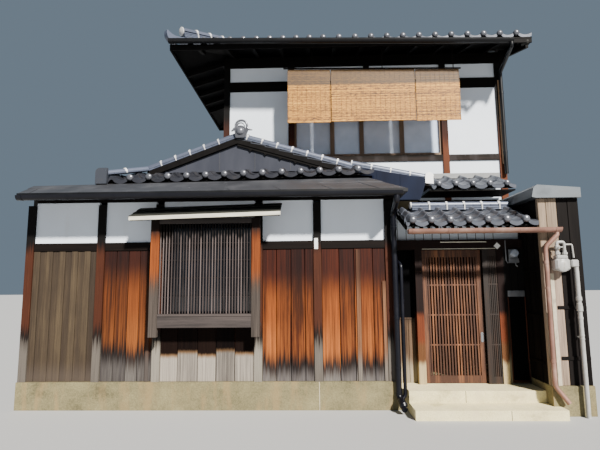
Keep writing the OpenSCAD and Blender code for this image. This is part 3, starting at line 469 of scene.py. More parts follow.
def concrete_look(name, dark, light, worn):
    """Old concrete: aggregate showing through, stains and a few pale worn patches."""
    look = Look(name, 0.88)
    grit = look.noise(70, 5, 0.8)
    speck = look.noise(160, 2, 0.6)
    cloud = look.noise((2.4, 2.4, 3.4), 5, 0.6)
    drip = look.noise((7, 7, 1.2), 4, 0.6)
    colour = look.ramp(look.blend((grit, 0.55), (cloud, 0.35), (speck, 0.1)), (0.36, dark), (0.64, light))
    colour = look.stain(colour, drip, 0.48, 0.66, 0.55, worn)
    colour = look.stain(colour, cloud, 0.42, 0.3, 0.4, shade(dark, 0.6))
    colour = look.stain(colour, speck, 0.62, 0.72, 0.5, shade(dark, 0.45))
    return look.done(colour, (grit, 0.5, 0.004))


def sheet_look(name, colour, roughness, metallic, dust=(0.10, 0.10, 0.10), dust_share=0.25, shine=0.5):
    """Coated sheet metal, dusty in streaks."""
    look = Look(name, metallic=metallic, Specular_IOR_Level=shine)
    cloud = look.noise(3, 4, 0.6)
    fine = look.noise(60, 3, 0.6)
    base = look.ramp(cloud, (0.3, shade(colour, 0.75)), (0.7, shade(colour, 1.25)))
    base = look.stain(base, cloud, 0.48, 0.72, dust_share, dust)
    worn = look.blend((cloud, 0.7), (fine, 0.3))
    return look.done(base, (cloud, 0.12, 0.01), (worn, roughness - 0.1, roughness + 0.28))


def gable_look():
    """Dark coated panels, faintly streaked by rain, with the cladding at the right painted navy as the shade
    under its verge.
    """
    look = Look("gable_sheet", 0.4, Specular_IOR_Level=0.1)
    cloud = look.noise((4, 4, 1.2), 4, 0.6)
    panel = look.ramp(cloud, (0.3, (0.030, 0.033, 0.044)), (0.7, (0.045, 0.048, 0.062)))
    # Navy is painted shade: the black metal in the verge's shadow
    navy = look.ramp(cloud, (0.3, (0.0025, 0.004, 0.012)), (0.7, (0.006, 0.010, 0.026)))
    return look.done(look.mix(look.between(look.axis("X"), 1.22, 1.28), panel, navy), (cloud, 0.1, 0.01))


def bamboo_look():
    """Split bamboo: straw to orange, with a greyer band near the pole that is painted shade of the eave."""
    look = Look("bamboo", 0.62)
    along = look.noise((17, 45, 75), 4, 0.75)
    blotch = look.noise((3, 3, 8), 3, 0.6)
    fine = look.noise((90, 200, 260), 3, 0.6)
    mixed = look.blend((along, 0.66), (look.tone(), 0.16), (blotch, 0.06), (fine, 0.12))
    colour = look.ramp(
        mixed, (0.40, (0.07, 0.026, 0.003)), (0.5, (0.40, 0.165, 0.014)), (0.60, (0.66, 0.33, 0.04)))
    # Painted shade of the eave across the top of the blinds
    colour = look.stain(colour, look.axis("Z"), 4.585, 4.62, 0.85, (0.05, 0.03, 0.014))
    return look.done(colour, (fine, 0.3, 0.001))


def glass_look(name, colour, roughness, alpha):
    """Window glass that lets part of the room show."""
    look = Look(name, roughness, Alpha=alpha, Specular_IOR_Level=0.7)
    ripple = look.noise(4, 2)
    return look.done(look.ramp(ripple, (0.3, shade(colour, 0.85)), (0.7, colour)), (ripple, 0.05, 0.01))


def paint_look(name, colour, roughness, metallic=0.0, worn=None, shine=0.5):
    """Enamel or dull metal on small fittings."""
    look = Look(name, metallic=metallic, Specular_IOR_Level=shine)
    cloud = look.noise(16, 4, 0.6)
    base = look.ramp(cloud, (0.3, shade(colour, 0.8)), (0.7, colour))
    if worn is not None:
        base = look.mix(look.between(look.noise((30, 30, 8), 4), 0.56, 0.7), base, worn)
    return look.done(base, rough=(cloud, roughness - 0.12, roughness + 0.18))


def make_looks():
    """Every material of the house by its short name."""
    black, soot = (0.002, 0.0015, 0.0015), (0.009, 0.006, 0.005)
    bleached, cream = (0.20, 0.18, 0.15), (0.52, 0.46, 0.37)
    return {
        "tile": tile_look("roof_tiles", (0.066, 0.073, 0.092), 0.24, 0.35),
        # Darker than the other tiles: painted shade under the gable
        "skirt": tile_look("skirt_tiles", (0.018, 0.019, 0.025), 0.24, 0.2),
        # Lighter than the tiles, partly a painted highlight of the sunlit noses
        "nose": tile_look("tile_noses", (0.12, 0.125, 0.145), 0.18, 0.5, 0.1),
        "ridge": tile_look("ridge_tiles", (0.085, 0.10, 0.145), 0.28, 0.3, 0.15),
        # Pale, partly painted sunlight on the collars' raised lips
        "collar": tile_look("ridge_collars", (0.55, 0.55, 0.55), 0.35, 0.1, 0.1),
        "board": banded_look("weathered_boards", [
            (0.56, (0.075, 0.066, 0.066), (0.22, 0.20, 0.18)),
            (0.76, (0.004, 0.003, 0.003), (0.035, 0.022, 0.018)),
            (1.12, (0.05, 0.011, 0.003), (0.46, 0.135, 0.027), 0.2),
            (1.62, (0.028, 0.007, 0.002), (0.34, 0.086, 0.016), 0.22),
            # The dark band under the rail is partly painted shade of the eave
            (2.0, (0.009, 0.002, 0.0015), (0.06, 0.012, 0.005)),
        ], 0.46, 0.11, (-0.4, 0.15), variety=0.6),
        "shelf_board": banded_look("boards_below_bay", [
            (0.66, (0.10, 0.088, 0.078), (0.30, 0.265, 0.225)),
            (0.69, (0.07, 0.04, 0.02), (0.20, 0.12, 0.065)),
            # Near black above z 0.69: painted shadow of the bay window above
            (1.0, (0.002, 0.001, 0.001), (0.008, 0.004, 0.003)),
        ], 0.05, 0.025, shine=0.05),
        "batten": banded_look("board_battens", [
            (0.62, (0.06, 0.05, 0.045), (0.18, 0.155, 0.13)),
            (1.5, (0.05, 0.02, 0.01), (0.21, 0.10, 0.052)),
            (2.0, (0.02, 0.008, 0.005), (0.10, 0.045, 0.025)),
        ], 0.3, 0.15),
        "olive": olive_board_look(),
        "post": banded_look("posts", [
            (0.72, bleached, cream),
            (0.92, (0.008, 0.005, 0.004), (0.045, 0.03, 0.022)),
            (1.93, (0.045, 0.013, 0.006), (0.30, 0.105, 0.045)),
            (3.0, black, (0.014, 0.008, 0.006)),
        ], 0.45, 0.1, pale_between=(-1.6, 0.3)),
        "dark": timber_look("dark_timber", black, soot, shine=0.08),
        "dark_x": timber_look("dark_timber_along", black, soot, "X", shine=0.08),
        "black": timber_look("black_timber", black, (0.006, 0.0055, 0.0055), "Y", shine=0.08),
        # Darker above z 4.0: painted shade under the upper eave
        "beam": timber_look("brown_beams", (0.006, 0.004, 0.003), (0.045, 0.027, 0.022), "X",
                            grey=(0.025, 0.02, 0.02), shine=0.12, shade_above=4.0),
        "plaster": plaster_look(),
        "plinth": concrete_look(
            "plinth_concrete", (0.07, 0.060, 0.026), (0.25, 0.215, 0.11), (0.25, 0.17, 0.075)),
        "steps": concrete_look("step_concrete", (0.50, 0.44, 0.235), (0.86, 0.77, 0.46), (0.62, 0.53, 0.34)),
        "mortar": paint_look("mortar", (0.50, 0.44, 0.33), 0.9, 0.0, (0.3, 0.26, 0.2)),
        "bay": banded_look("bay_timber", [
            (1.5, (0.012, 0.010, 0.009), (0.085, 0.068, 0.058)),
            (1.62, (0.02, 0.011, 0.008), (0.11, 0.06, 0.038)),
            (2.12, (0.05, 0.010, 0.003), (0.28, 0.07, 0.014)),
            # Black above z 2.12: painted shade under the hood
            (2.4, black, (0.012, 0.006, 0.005)),
        ], 0.3, 0.12),
        "rail_x": timber_look("bay_rails", (0.008, 0.006, 0.006), (0.065, 0.05, 0.046), "X"),
        "bar": banded_look("lattice_bars", [
            (2.13, (0.014, 0.011, 0.011), (0.115, 0.09, 0.085)),
            # Black above z 2.13: painted shade under the hood
            (2.4, black, soot),
        ], 0.1, 0.03),
        "bleached": timber_look("bleached_timber", (0.13, 0.12, 0.09), (0.80, 0.77, 0.66), "X", 0.9),
        "hood": timber_look("hood_boards", (0.006, 0.007, 0.006), (0.035, 0.036, 0.031), "X", shine=0.2),
        "gable": gable_look(),
        "eave": sheet_look("eave_sheet", (0.046, 0.048, 0.056), 0.42, 0.35, (0.095, 0.096, 0.10)),
        "flashing": sheet_look("grey_flashing", (0.20, 0.205, 0.21), 0.5, 0.4),
        "gutter": sheet_look(
            "gutter_metal", (0.004, 0.0045, 0.006), 0.35, 0.1, (0.012, 0.012, 0.014), 0.2, 0.3),
        "pipe": sheet_look("pipe_metal", (0.003, 0.0035, 0.007), 0.25, 0.1, (0.01, 0.01, 0.013), 0.2, 0.3),
        "soffit": timber_look("soffit_boards", (0.14, 0.11, 0.055), (0.34, 0.28, 0.16), "Y"),
        "window": timber_look("window_timber", (0.11, 0.07, 0.045), (0.40, 0.27, 0.18)),
        "upper_post": banded_look("upper_posts", [
            (3.75, (0.10, 0.03, 0.012), (0.46, 0.17, 0.07)),
            # Darker above z 3.75 and black above z 4.1: partly painted shade of the eave
            (4.1, (0.03, 0.009, 0.005), (0.20, 0.06, 0.025)),
            (5.3, black, (0.010, 0.005, 0.004)),
        ], 0.5, 0.15),
        "new_wood": timber_look("corner_board", (0.42, 0.24, 0.12), (0.80, 0.58, 0.38)),
        "bamboo": bamboo_look(),
        "copper": sheet_look("copper", (0.26, 0.137, 0.104), 0.42, 0.4, (0.46, 0.35, 0.29), 0.5),
        "door": timber_look("door_timber", (0.038, 0.012, 0.0045), (0.38, 0.148, 0.059)),
        "side_lattice": timber_look("side_lattice_timber", (0.007, 0.003, 0.0015), (0.06, 0.024, 0.012)),
        "frame": timber_look("door_frame_timber", (0.008, 0.003, 0.002), (0.06, 0.019, 0.010), shine=0.15),
        "side_boards": banded_look("entrance_boards", [
            (0.50, (0.17, 0.145, 0.10), (0.37, 0.31, 0.21)),
            (1.05, (0.035, 0.02, 0.012), (0.16, 0.10, 0.06)),
            # Black above z 1.05: painted shadow of the entrance roof
            (2.1, black, (0.008, 0.006, 0.006)),
        ], 0.35, 0.1),
        "frame_post": banded_look("door_posts", [
            (0.45, (0.40, 0.31, 0.17), (0.72, 0.60, 0.39)),
            (0.70, (0.10, 0.04, 0.015), (0.34, 0.16, 0.07)),
            (1.06, (0.12, 0.028, 0.010), (0.42, 0.13, 0.045)),
            # Near black above z 1.06: painted shadow of the entrance roof
            (2.1, (0.008, 0.003, 0.0025), (0.06, 0.016, 0.010)),
        ], 0.12, 0.05),
        "annex": banded_look("annex_boards", [
            (0.60, (0.10, 0.07, 0.05), (0.32, 0.24, 0.175)),
            (1.75, (0.07, 0.052, 0.04), (0.38, 0.28, 0.215)),
            (2.6, (0.05, 0.036, 0.026), (0.30, 0.225, 0.16)),
        ], 0.5, 0.2, stains=(0.27, 0.23, 0.19)),
        "party": timber_look("party_boards", (0.012, 0.009, 0.008), (0.075, 0.055, 0.046)),
        # Near black, partly painted shade on the annex's right and left faces
        "annex_dark": timber_look("annex_dark_boards", black, (0.009, 0.007, 0.0065), shine=0.08),
        "rear": timber_look("rear_boards", (0.05, 0.022, 0.014), (0.24, 0.11, 0.06)),
        "floor": timber_look("floor_boards", (0.13, 0.075, 0.04), (0.34, 0.22, 0.125), "X"),
        "cap": sheet_look("cap_metal", (0.11, 0.125, 0.14), 0.4, 0.6, (0.07, 0.07, 0.066), 0.6),
        "pale": paint_look("pale_enamel", (0.38, 0.38, 0.37), 0.35, 0.0, (0.27, 0.25, 0.22)),
        "shade": paint_look("inner_shades", (0.92, 0.93, 0.95), 0.7),
        "curtain": plaster_look("inner_curtain", (0.86, 0.93, 1.0)),
        "plate": paint_look("white_plate", (0.86, 0.86, 0.84), 0.3),
        "painted_shade_black": paint_look("black_panel", (0.0015, 0.0015, 0.002), 0.7, shine=0.04),
        "case": paint_look("meter_case", (0.10, 0.10, 0.105), 0.45, 0.2),
        "steel": paint_look("dull_steel", (0.24, 0.25, 0.27), 0.35, 0.7),
        "glass": glass_look("window_glass", (0.70, 0.80, 1.0), 0.08, 0.36),
        "dark_glass": glass_look("dark_glass", (0.006, 0.007, 0.011), 0.1, 1.0),
    }


LOOKS = make_looks()


def dress_frame():
    """Materials of the nodes that stay as the frame has them, with their edges rounded a little."""
    for look, bevel, *nodes in (
        ("plinth", 0.008, "plinth"), ("steps", 0.01, "entrance_steps"), ("post", 0.004, "front_posts"),
        ("floor", 0, "ground_floor", "upper_floor"), ("party", 0, "party_wall_left", "party_wall_right"),
        ("rear", 0, "rear_wall"), ("dark_glass", 0, "bay_window"), ("eave", 0.002, "low_roofs"),
        ("dark", 0.003, "roof_purlins"), ("gable", 0.002, "gable_panels"),
        ("plaster", 0, "upper_wall_front", "upper_wall_rear", "upper_side_walls"),
        ("upper_post", 0.004, "upper_posts"), ("beam", 0.004, "upper_beams"),
        ("window", 0.003, "upper_windows"), ("glass", 0, "upper_glass"),
        ("frame_post", 0.004, "door_frame"), ("door", 0.002, "sliding_door"),
        ("side_lattice", 0.001, "side_lattice"), ("side_boards", 0.001, "entrance_walls"),
        ("cap", 0.006, "annex_cap"), ("steel", 0.001, "letter_slot"),
    ):
        for node in nodes:
            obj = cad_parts[node]
            obj.data.materials.clear()
            obj.data.materials.append(LOOKS[look])
            if bevel:
                rounding = obj.modifiers.new("edges", "BEVEL")
                rounding.width = bevel
                rounding.segments = 2
                rounding.limit_method = "ANGLE"
                rounding.angle_limit = math.radians(40)


def row_edges(start, *stretches):
    """Edges of tile rows along an eave; each stretch is (where it ends, how many rows it has)."""
    edges = [start]
    for end, count in stretches:
        edges += list(np.linspace(edges[-1], end, count + 1)[1:])
    return [e - start for e in edges]


def even_rows(length):
    return row_edges(0.0, (length, round(length / TILE_PITCH)))


def tile_profile():
    """Across one tile, as share of its pitch and height: a lip, a roll and then a trough."""
    points = [(0.004, -0.010)]
    for t in np.linspace(0, 1, 17):
        if t < ROLL_SHARE:
            h = ROLL_H * math.sin(math.pi * t / ROLL_SHARE) ** 0.9 if t > 0 else 0.0
        else:
            h = -TROUGH_H * math.sin(math.pi * (t - ROLL_SHARE) / (1 - ROLL_SHARE)) ** 0.85 if t < 1 else 0.0
        points.append((t, h))
    return points


PROFILE = tile_profile()


class Slope:
    """A tiled slope: its eave runs from start along side, and it rises to the left of that."""

    def __init__(self, start, side, edges, run, fall, eave_z, tilt=0.0, courses=None, nose_u=0.02):
        self.start = Vector((*start, 0))
        self.side = Vector((*side, 0))
        self.back = UP.cross(self.side)
        self.rows = list(zip(edges, edges[1:]))
        self.courses = courses or max(1, round(run / TILE_COURSE))
        self.course = run / self.courses
        self.fall, self.eave_z, self.tilt, self.nose_u = fall, eave_z, tilt, nose_u

    def at(self, s, u, h):
        """The point s along the eave, u up the run and h over the slope's plane."""
        p = self.start + self.side * s + self.back * u
        p.z = self.eave_z + self.fall * u + self.tilt * s + h
        return p

    def tiles(self, shape, noses=None, first=0):
        """All tiles, with round noses from the first nosed row on."""
        for course in range(self.courses):
            for a, b in self.rows:
                self.tile(shape, a, b, course)
        if noses is not None:
            for a, b in self.rows[first:]:
                self.nose(noses, a + ROLL_SHARE / 2 * (b - a))

    def tile(self, shape, a, b, course):
        """One wave tile, thick at its lower edge, with an apron where it ends the eave."""
        u0 = course * self.course
        u1 = u0 + self.course + TILE_LAP
        jitter = rng.uniform(-0.0018, 0.0018)
        skew = rng.uniform(-0.0015, 0.0015)
        tone = min(1.0, max(0.0, rng.gauss(0.45, 0.16)))
        setback, drop = (0.002, TILE_LIP) if course else (0.004, APRON_H)
        low, top, soft, back = [], [], [], []
        for t, h in PROFILE:
            s = a + t * (b - a)
            h += jitter
            low.append(self.at(s, u0 + setback, h - drop))
            top.append(self.at(s, u0, h - 0.005))
            soft.append(self.at(s, u0 + 0.006, h))
            back.append(self.at(s, u1, h + skew - TILE_STEP * (u1 - u0) / self.course))
        # The apron's face is made lighter than the rest of the tile: painted sunlight on the face towards
        # the street
        shape.rings([low, top], min(1.0, tone + 0.35), closed=False, caps=False)
        shape.rings([top, soft, back], tone, closed=False, caps=False)

    def nose(self, shape, s):
        """The domed end of a roll."""
        dome = [(d, NOSE_R * share) for d, share in NOSE_DOME]
        shape.revolve(dome, self.at(s, self.nose_u, -0.006), -self.back, 20, rng.uniform(0.4, 0.65))

    def bed(self, shape, outline):
        """Boards under the tiles over a plan outline of (s, u) points."""
        shape.loft(*([self.at(s, u, -drop) for s, u in outline] for drop in (ROOF_T, BED_DROP)), 0.3)


def lay_roof(name, slopes, outlines, first=0, clip=(), nose_clip=(), boards=None, gone=None, look="tile",
             wave=None, node=None):
    """Tiles of slopes, domed ends along the first one's eave, and boards over plan outlines."""
    tiles, noses, boards = Shape(), Shape(), boards or Shape()
    slopes[0].tiles(tiles, noses, first)
    for slope in slopes[1:]:
        slope.tiles(tiles)
    for slope, outline in zip(slopes, outlines):
        slope.bed(boards, outline)
    tiles.piece(wave or name + "_tiles", look, "roof_tiles", [node or name], clip=clip, gone=gone)
    noses.piece(name + "_noses", "nose", "roof_tiles", clip=nose_clip)
    boards.piece(name + "_boards", "black", "dark_timber")


def make_upper_roof():
    """The three tiled slopes of the upper roof."""
    full, deep, run = UPPER_VERGE_X - UPPER_EAVE_X, 2 * UPPER_RUN, UPPER_RUN
    back_y = UPPER_EAVE_Y + deep
    street_rows = row_edges(UPPER_EAVE_X, (-1.39, 1), (0.849, 11), (3.77, 12), (UPPER_VERGE_X, 1))
    ends = (plane(UPPER_VERGE_X - 0.002, 0, 1, 0), plane(0, back_y - 0.001, 0, 1))
    for name, start, side, edges, first, hips, outline in (
        ("upper_roof_front", (UPPER_EAVE_X, UPPER_EAVE_Y), (1, 0), street_rows, 1, ((UPPER_EAVE_Y, -1, 1),),
         [(0, 0), (full, 0), (full, run), (run, run)]),
        ("upper_roof_rear", (UPPER_VERGE_X, back_y), (-1, 0), even_rows(full), 0, ((back_y, -1, -1),),
         [(0, 0), (full, 0), (full - run, run), (0, run)]),
        ("upper_roof_left", (UPPER_EAVE_X, back_y), (0, -1), even_rows(deep), 0,
         ((UPPER_EAVE_Y, 1, -1), (back_y, 1, 1)), [(0, 0), (deep, 0), (run, run)]),
    ):
        slope = Slope(start, side, edges, run, UPPER_FALL, UPPER_EAVE_Z, nose_u=0.02 if first else 0.052)
        clip = [plane(UPPER_EAVE_X, *hip) for hip in hips]
        lay_roof(name, [slope], [outline], first, clip, ends)


def make_front_roof():
    """The tiled skirt below the gable, and the left and right slopes behind it."""
    skirt_run = GABLE_Y - SKIRT_EAVE_Y
    skirt_len = SKIRT_RIGHT_X - LEFT_EAVE_X
    rows = row_edges(LEFT_EAVE_X, (-2.049, 1), (-1.795, 1), (SKIRT_RIGHT_X, 13))
    skirt = Slope((LEFT_EAVE_X, SKIRT_EAVE_Y), (1, 0), rows, skirt_run,
                  (SKIRT_TOP_Z - SKIRT_EAVE_Z) / skirt_run,
                  SKIRT_EAVE_Z + SKIRT_TILT * (LEFT_EAVE_X - SKIRT_MID_X), SKIRT_TILT, 2)
    hip_x = GABLE_LEFT_X - LEFT_EAVE_X
    right_hip_x = GABLE_RIGHT_X - SKIRT_RIGHT_X
    hip_cut = plane(LEFT_EAVE_X, SKIRT_EAVE_Y, -skirt_run, hip_x)
    right_cut = plane(SKIRT_RIGHT_X, SKIRT_EAVE_Y, skirt_run, -right_hip_x)
    verge_u = VERGE_Y - SKIRT_EAVE_Y
    share = verge_u / skirt_run
    back = 0.035
    outline = [(back, back), (skirt_len - 0.05, back), (skirt_len + share * right_hip_x, verge_u),
               (share * hip_x, verge_u)]
    lay_roof("skirt", [skirt], [outline], 2, (hip_cut, right_cut), look="skirt", wave="skirt_wave_tiles",
             node="skirt_tiles")

    def inside(c):
        """Is this point of the left slope inside the upper storey or past the verge?"""
        return (c.y > FRONT_DEPTH and c.x > UPPER_LEFT_X) or (c.y < VERGE_Y and c.x > GABLE_LEFT_X)

    back_y = REAR_Y + 0.15
    run = RIDGE_X - LEFT_EAVE_X
    length = back_y - SKIRT_EAVE_Y
    inner = UPPER_LEFT_X - LEFT_EAVE_X
    left = Slope((LEFT_EAVE_X, back_y), (0, -1), even_rows(length), run, LEFT_FALL, LEFT_EAVE_Z)
    behind_hip = [plane(LEFT_EAVE_X, SKIRT_EAVE_Y, skirt_run, -hip_x)]
    verge_s, storey_s = back_y - VERGE_Y, back_y - FRONT_DEPTH
    outline = [(0, 0), (length, 0), (verge_s, share * hip_x), (verge_s, run), (storey_s, run),
               (storey_s, inner), (0, inner)]
    lay_roof("front_roof_left", [left], [outline], 0, behind_hip, behind_hip, gone=inside)

    width = FRONT_DEPTH - VERGE_Y
    slopes, outlines = [], []
    for foot_x, top_x, fall, foot_z in ((RIGHT_EAVE_X, GABLE_RIGHT_X, LOWER_FALL, RIGHT_EAVE_Z),
                                        (GABLE_RIGHT_X, RIDGE_X, RIGHT_FALL, SKIRT_TOP_Z)):
        run = foot_x - top_x
        slopes.append(Slope((foot_x, VERGE_Y), (0, 1), even_rows(width), run, fall, foot_z))
        outlines.append([(0, 0), (width, 0), (width, run), (0, run)])
    lay_roof("front_roof_right", slopes, outlines)


def lean_to(name, left, right, eave_y, eave_z, fall, top_y, stretches, courses, boards=None):
    """A small tiled roof against a wall, cut at its right end."""
    run, length = top_y - eave_y, right - left
    slope = Slope((left, eave_y), (1, 0), row_edges(left, *stretches), run, fall, eave_z, courses=courses)
    end_cut = [plane(right, 0, 1, 0)]
    outline = [(0, 0.03), (length, 0.03), (length, run), (0, run)]
    lay_roof(name, [slope], [outline], 1, end_cut, end_cut, boards)


def make_small_roofs():
    """The pent roof between the storeys and the roof over the entrance."""
    boards, flashing = Shape(), Shape()
    left, right = PENT_X
    soffit_z = PENT_EAVE_Z - ROOF_T
    wall_z = PENT_EAVE_Z + PENT_FALL * (FRONT_DEPTH - PENT_EAVE_Y)
    boards.box((left, PENT_EAVE_Y + 0.03, soffit_z - 0.018), (right, FRONT_DEPTH - 0.002, soffit_z), 0.001)
    lean_to("pent_roof", left, right, PENT_EAVE_Y, PENT_EAVE_Z, PENT_FALL, FRONT_DEPTH,
            ((2.546, 1), (3.799, 5)), 2, boards)
    flashing.box((left, FRONT_DEPTH - 0.012, wall_z - 0.04), (right, FRONT_DEPTH - 0.001, wall_z + 0.045))
    flashing.piece("pent_flashing", "flashing", "black_metal")
    lean_to("entrance_roof", *PORCH_X, PORCH_EAVE_Y, PORCH_EAVE_Z, PORCH_FALL, PORCH_RIDGE_Y,
            ((1.866, 1), (3.443, 7)), 3)


def front_top_z(x):
    """Height of the front roof's slopes above x."""
    if x < RIDGE_X:
        return RIDGE_Z - LEFT_FALL * (RIDGE_X - x)
    if x < GABLE_RIGHT_X:
        return RIDGE_Z - RIGHT_FALL * (x - RIDGE_X)
    return SKIRT_TOP_Z - LOWER_FALL * (x - GABLE_RIGHT_X)


def axes(p, q):
    """Unit vectors along a line from p to q, and level across it."""
    along = (q - p).normalized()
    return along, UP.cross(along).normalized()


def ridge(shape, collars, p, q, unit, width=0.13, layers=2, r=0.05, lift=(0.0, 0.0), ends=(False, False)):
    """Courses of flat tiles under a row of half-round tiles, a unit apart, with a collar at each joint."""
    foot = [Vector(p), Vector(q)]
    p, q = (end + UP * rise for end, rise in zip(foot, lift))
    along, across = axes(p, q)
    up = along.cross(across)
    length = (q - p).length
    layer_t = 0.026
    if any(lift):
        corners = (*foot, q + up * 0.01, p + up * 0.01)
        side = across * (width / 2 - 0.008)
        shape.loft(*([c + side * s for c in corners] for s in (-1, 1)), 0.3)
    place = Matrix((along, across, up)).transposed().to_4x4()
    place.translation = p
    for layer in range(layers):
        half = width / 2 - 0.006 * layer
        z = layer * layer_t
        joints = np.arange(unit * (0.5 + 0.5 * (layer % 2)), length - 0.04, unit)
        for a, b in zip([0.0, *joints], [*joints, length]):
            tone = rng.uniform(0.25, 0.6)
            shape.box((a + 0.001, -half, z), (b - 0.001, half, z + layer_t - 0.004), 0.003, tone, place)
        inner = half - 0.012
        shape.box((0.0, -inner, z - 0.004), (length, inner, z + layer_t), 0.001, 0.1, place)
    base = layers * layer_t - 0.006

    def half_round(*steps):
        """Rings over the ridge, each given by its place along it and its radius."""
        return [[place @ Vector((x, y, z)) for y, z in arc((0, base), radius, -8, 188, 13)]
                for x, radius in steps]

    x0 = 0.0
    for x1 in [*np.arange(unit, length - 0.3 * unit, unit), length]:
        shape.rings(half_round((x0 + 0.002, r - 0.003), (x0 + 0.006, r), (x1, r - 0.002)),
                    rng.uniform(0.35, 0.65), closed=False, caps=False)
        if x1 < length:
            band = half_round((x1 - 0.014, r - 0.002), (x1 - 0.012, r + 0.007), (x1 + 0.012, r + 0.009),
                              (x1 + 0.014, r - 0.004))
            collars.rings(band, rng.uniform(0.4, 0.7), closed=False, caps=False)
            side = width / 2 + 0.004
            collars.box((x1 - 0.008, -side, 0.0), (x1 + 0.008, side, base + 0.01), 0.003, 0.45, place)
        x0 = x1
    knob = [(0.0, r + 0.004), (0.012, r + 0.006), (0.018, r), (0.019, r * 0.8), (0.026, r * 0.5),
            (0.028, r * 0.05)]
    for wanted, x, direction in zip(ends, (0.0, length), (-along, along)):
        if wanted:
            collars.revolve(knob, place @ Vector((x, 0, base)), direction, 20)


def make_ridges():
    """Ridges of the front roof, the upper roof and the entrance roof."""
    shape, collars = Shape(), Shape()
    y = VERGE_Y + 0.066
    end_x = LEFT_EAVE_X + 0.045
    apex = Vector((RIDGE_X, y, RIDGE_Z))
    left_foot = Vector((GABLE_LEFT_X, y, SKIRT_TOP_Z))
    right_foot = Vector((GABLE_RIGHT_X + 0.006, y, SKIRT_TOP_Z))
    left_end = Vector((end_x, SKIRT_EAVE_Y + 0.025, front_top_z(end_x)))
    right_end = Vector((RIGHT_EAVE_X - 0.02, y, RIGHT_EAVE_Z + LOWER_FALL * 0.02))

    def verge(p, q, spacing, *more):
        """A ridge whose tiles are a spacing apart along X."""
        ridge(shape, collars, p, q, spacing * (q - p).length / abs(q.x - p.x), *more)

    verge(left_foot, apex, 0.2105)
    verge(right_foot, apex, VERGE_STEP)
    ridge(shape, collars, left_end, left_foot + Vector((0, -0.05, 0.01)), 0.36, 0.11, 1, 0.048)
    verge(right_end, right_foot, 0.277, 0.12, 2, 0.047, (0.0, 0.04), (False, True))
    back_end = (RIDGE_X, FRONT_DEPTH - 0.002, RIDGE_Z)
    ridge(shape, collars, apex + Vector((0, 0.07, 0)), back_end, 0.25, r=0.055)
    end_tile = Shape()
    hip_end = [(-2.205, 2.868), (-2.05, 2.868), (-2.05, 3.085)] + arc((-2.145, 3.025), 0.06, 90, 180, 8)
    end_tile.plate(hip_end, SKIRT_EAVE_Y - 0.052, SKIRT_EAVE_Y - 0.003, 0.2)
    end_tile.piece("hip_end_tile", "tile", "roof_tiles")
    shape.piece("front_ridge_tiles", "ridge", "roof_tiles", ["front_roof_ridges"])
    end_plate = [(2.31, 2.93), (2.425, 2.918), (2.425, 3.03)] + arc((2.31 + 0.062, 3.025), 0.062, 5, 175, 12)
    collars.plate(end_plate, y - 0.085, y - 0.05, 1.0)
    collars.piece("front_ridge_collars", "collar", "roof_tiles")

    shape, collars = Shape(), Shape()
    top = Vector((UPPER_HIP_X, UPPER_RIDGE_Y, UPPER_RIDGE_Z))
    verge_end = Vector((UPPER_VERGE_X - 0.03, UPPER_RIDGE_Y, UPPER_RIDGE_Z))
    ridge(shape, collars, verge_end, top - Vector((0.06, 0, 0)), 0.27, 0.16, 4, 0.058, ends=(True, False))
    reach = 0.16
    for side in (-1, 1):
        foot_z = UPPER_EAVE_Z + UPPER_FALL * reach
        foot = Vector((UPPER_EAVE_X + reach, UPPER_RIDGE_Y + side * (UPPER_RUN - reach), foot_z))
        ridge(shape, collars, foot, top, 0.25, 0.15, 5, 0.062, (0.06, 0.0), (True, False))
        corner_horn(shape, side)
    shape.piece("upper_ridge_tiles", "ridge", "roof_tiles", ["upper_ridges"])
    collars.piece("upper_ridge_collars", "collar", "roof_tiles")

    shape, collars = Shape(), Shape()
    z = PORCH_EAVE_Z + PORCH_FALL * (PORCH_RIDGE_Y - PORCH_EAVE_Y) - 0.04
    ends = [(x, PORCH_RIDGE_Y, z) for x in (PORCH_X[0] + 0.225, PORCH_X[1] - 0.09)]
    ridge(shape, collars, *ends, 0.232, 0.12, 3, 0.042, ends=(True, False))
    shape.piece("entrance_ridge_tiles", "ridge", "roof_tiles")
    collars.piece("entrance_ridge_collars", "collar", "roof_tiles")


def corner_horn(shape, side):
    """The upturned tile at a corner of the upper roof, along the diagonal."""
    inward = Vector((1, -side, 0)).normalized()
    corner = Vector((UPPER_EAVE_X, UPPER_RIDGE_Y + side * UPPER_RUN, UPPER_EAVE_Z))
    if side > 0:
        corner += inward * 0.13
    across = Vector((side, 1, 0)).normalized()
    outline = [
        (-0.072, 0.136), (-0.074, 0.09), (-0.06, 0.04), (-0.035, 0.01), (-0.008, -0.014), (-0.002, 0.003),
        (0.24, 0.053), (0.24, 0.128), (0.15, 0.100), (0.08, 0.092), (0.03, 0.098), (0.0, 0.108),
        (-0.03, 0.122), (-0.052, 0.14),
    ]
    spine = [corner + inward * a + UP * b for a, b in outline]
    shape.loft(*([p + across * half for p in spine] for half in (-0.045, 0.045)), 0.6)


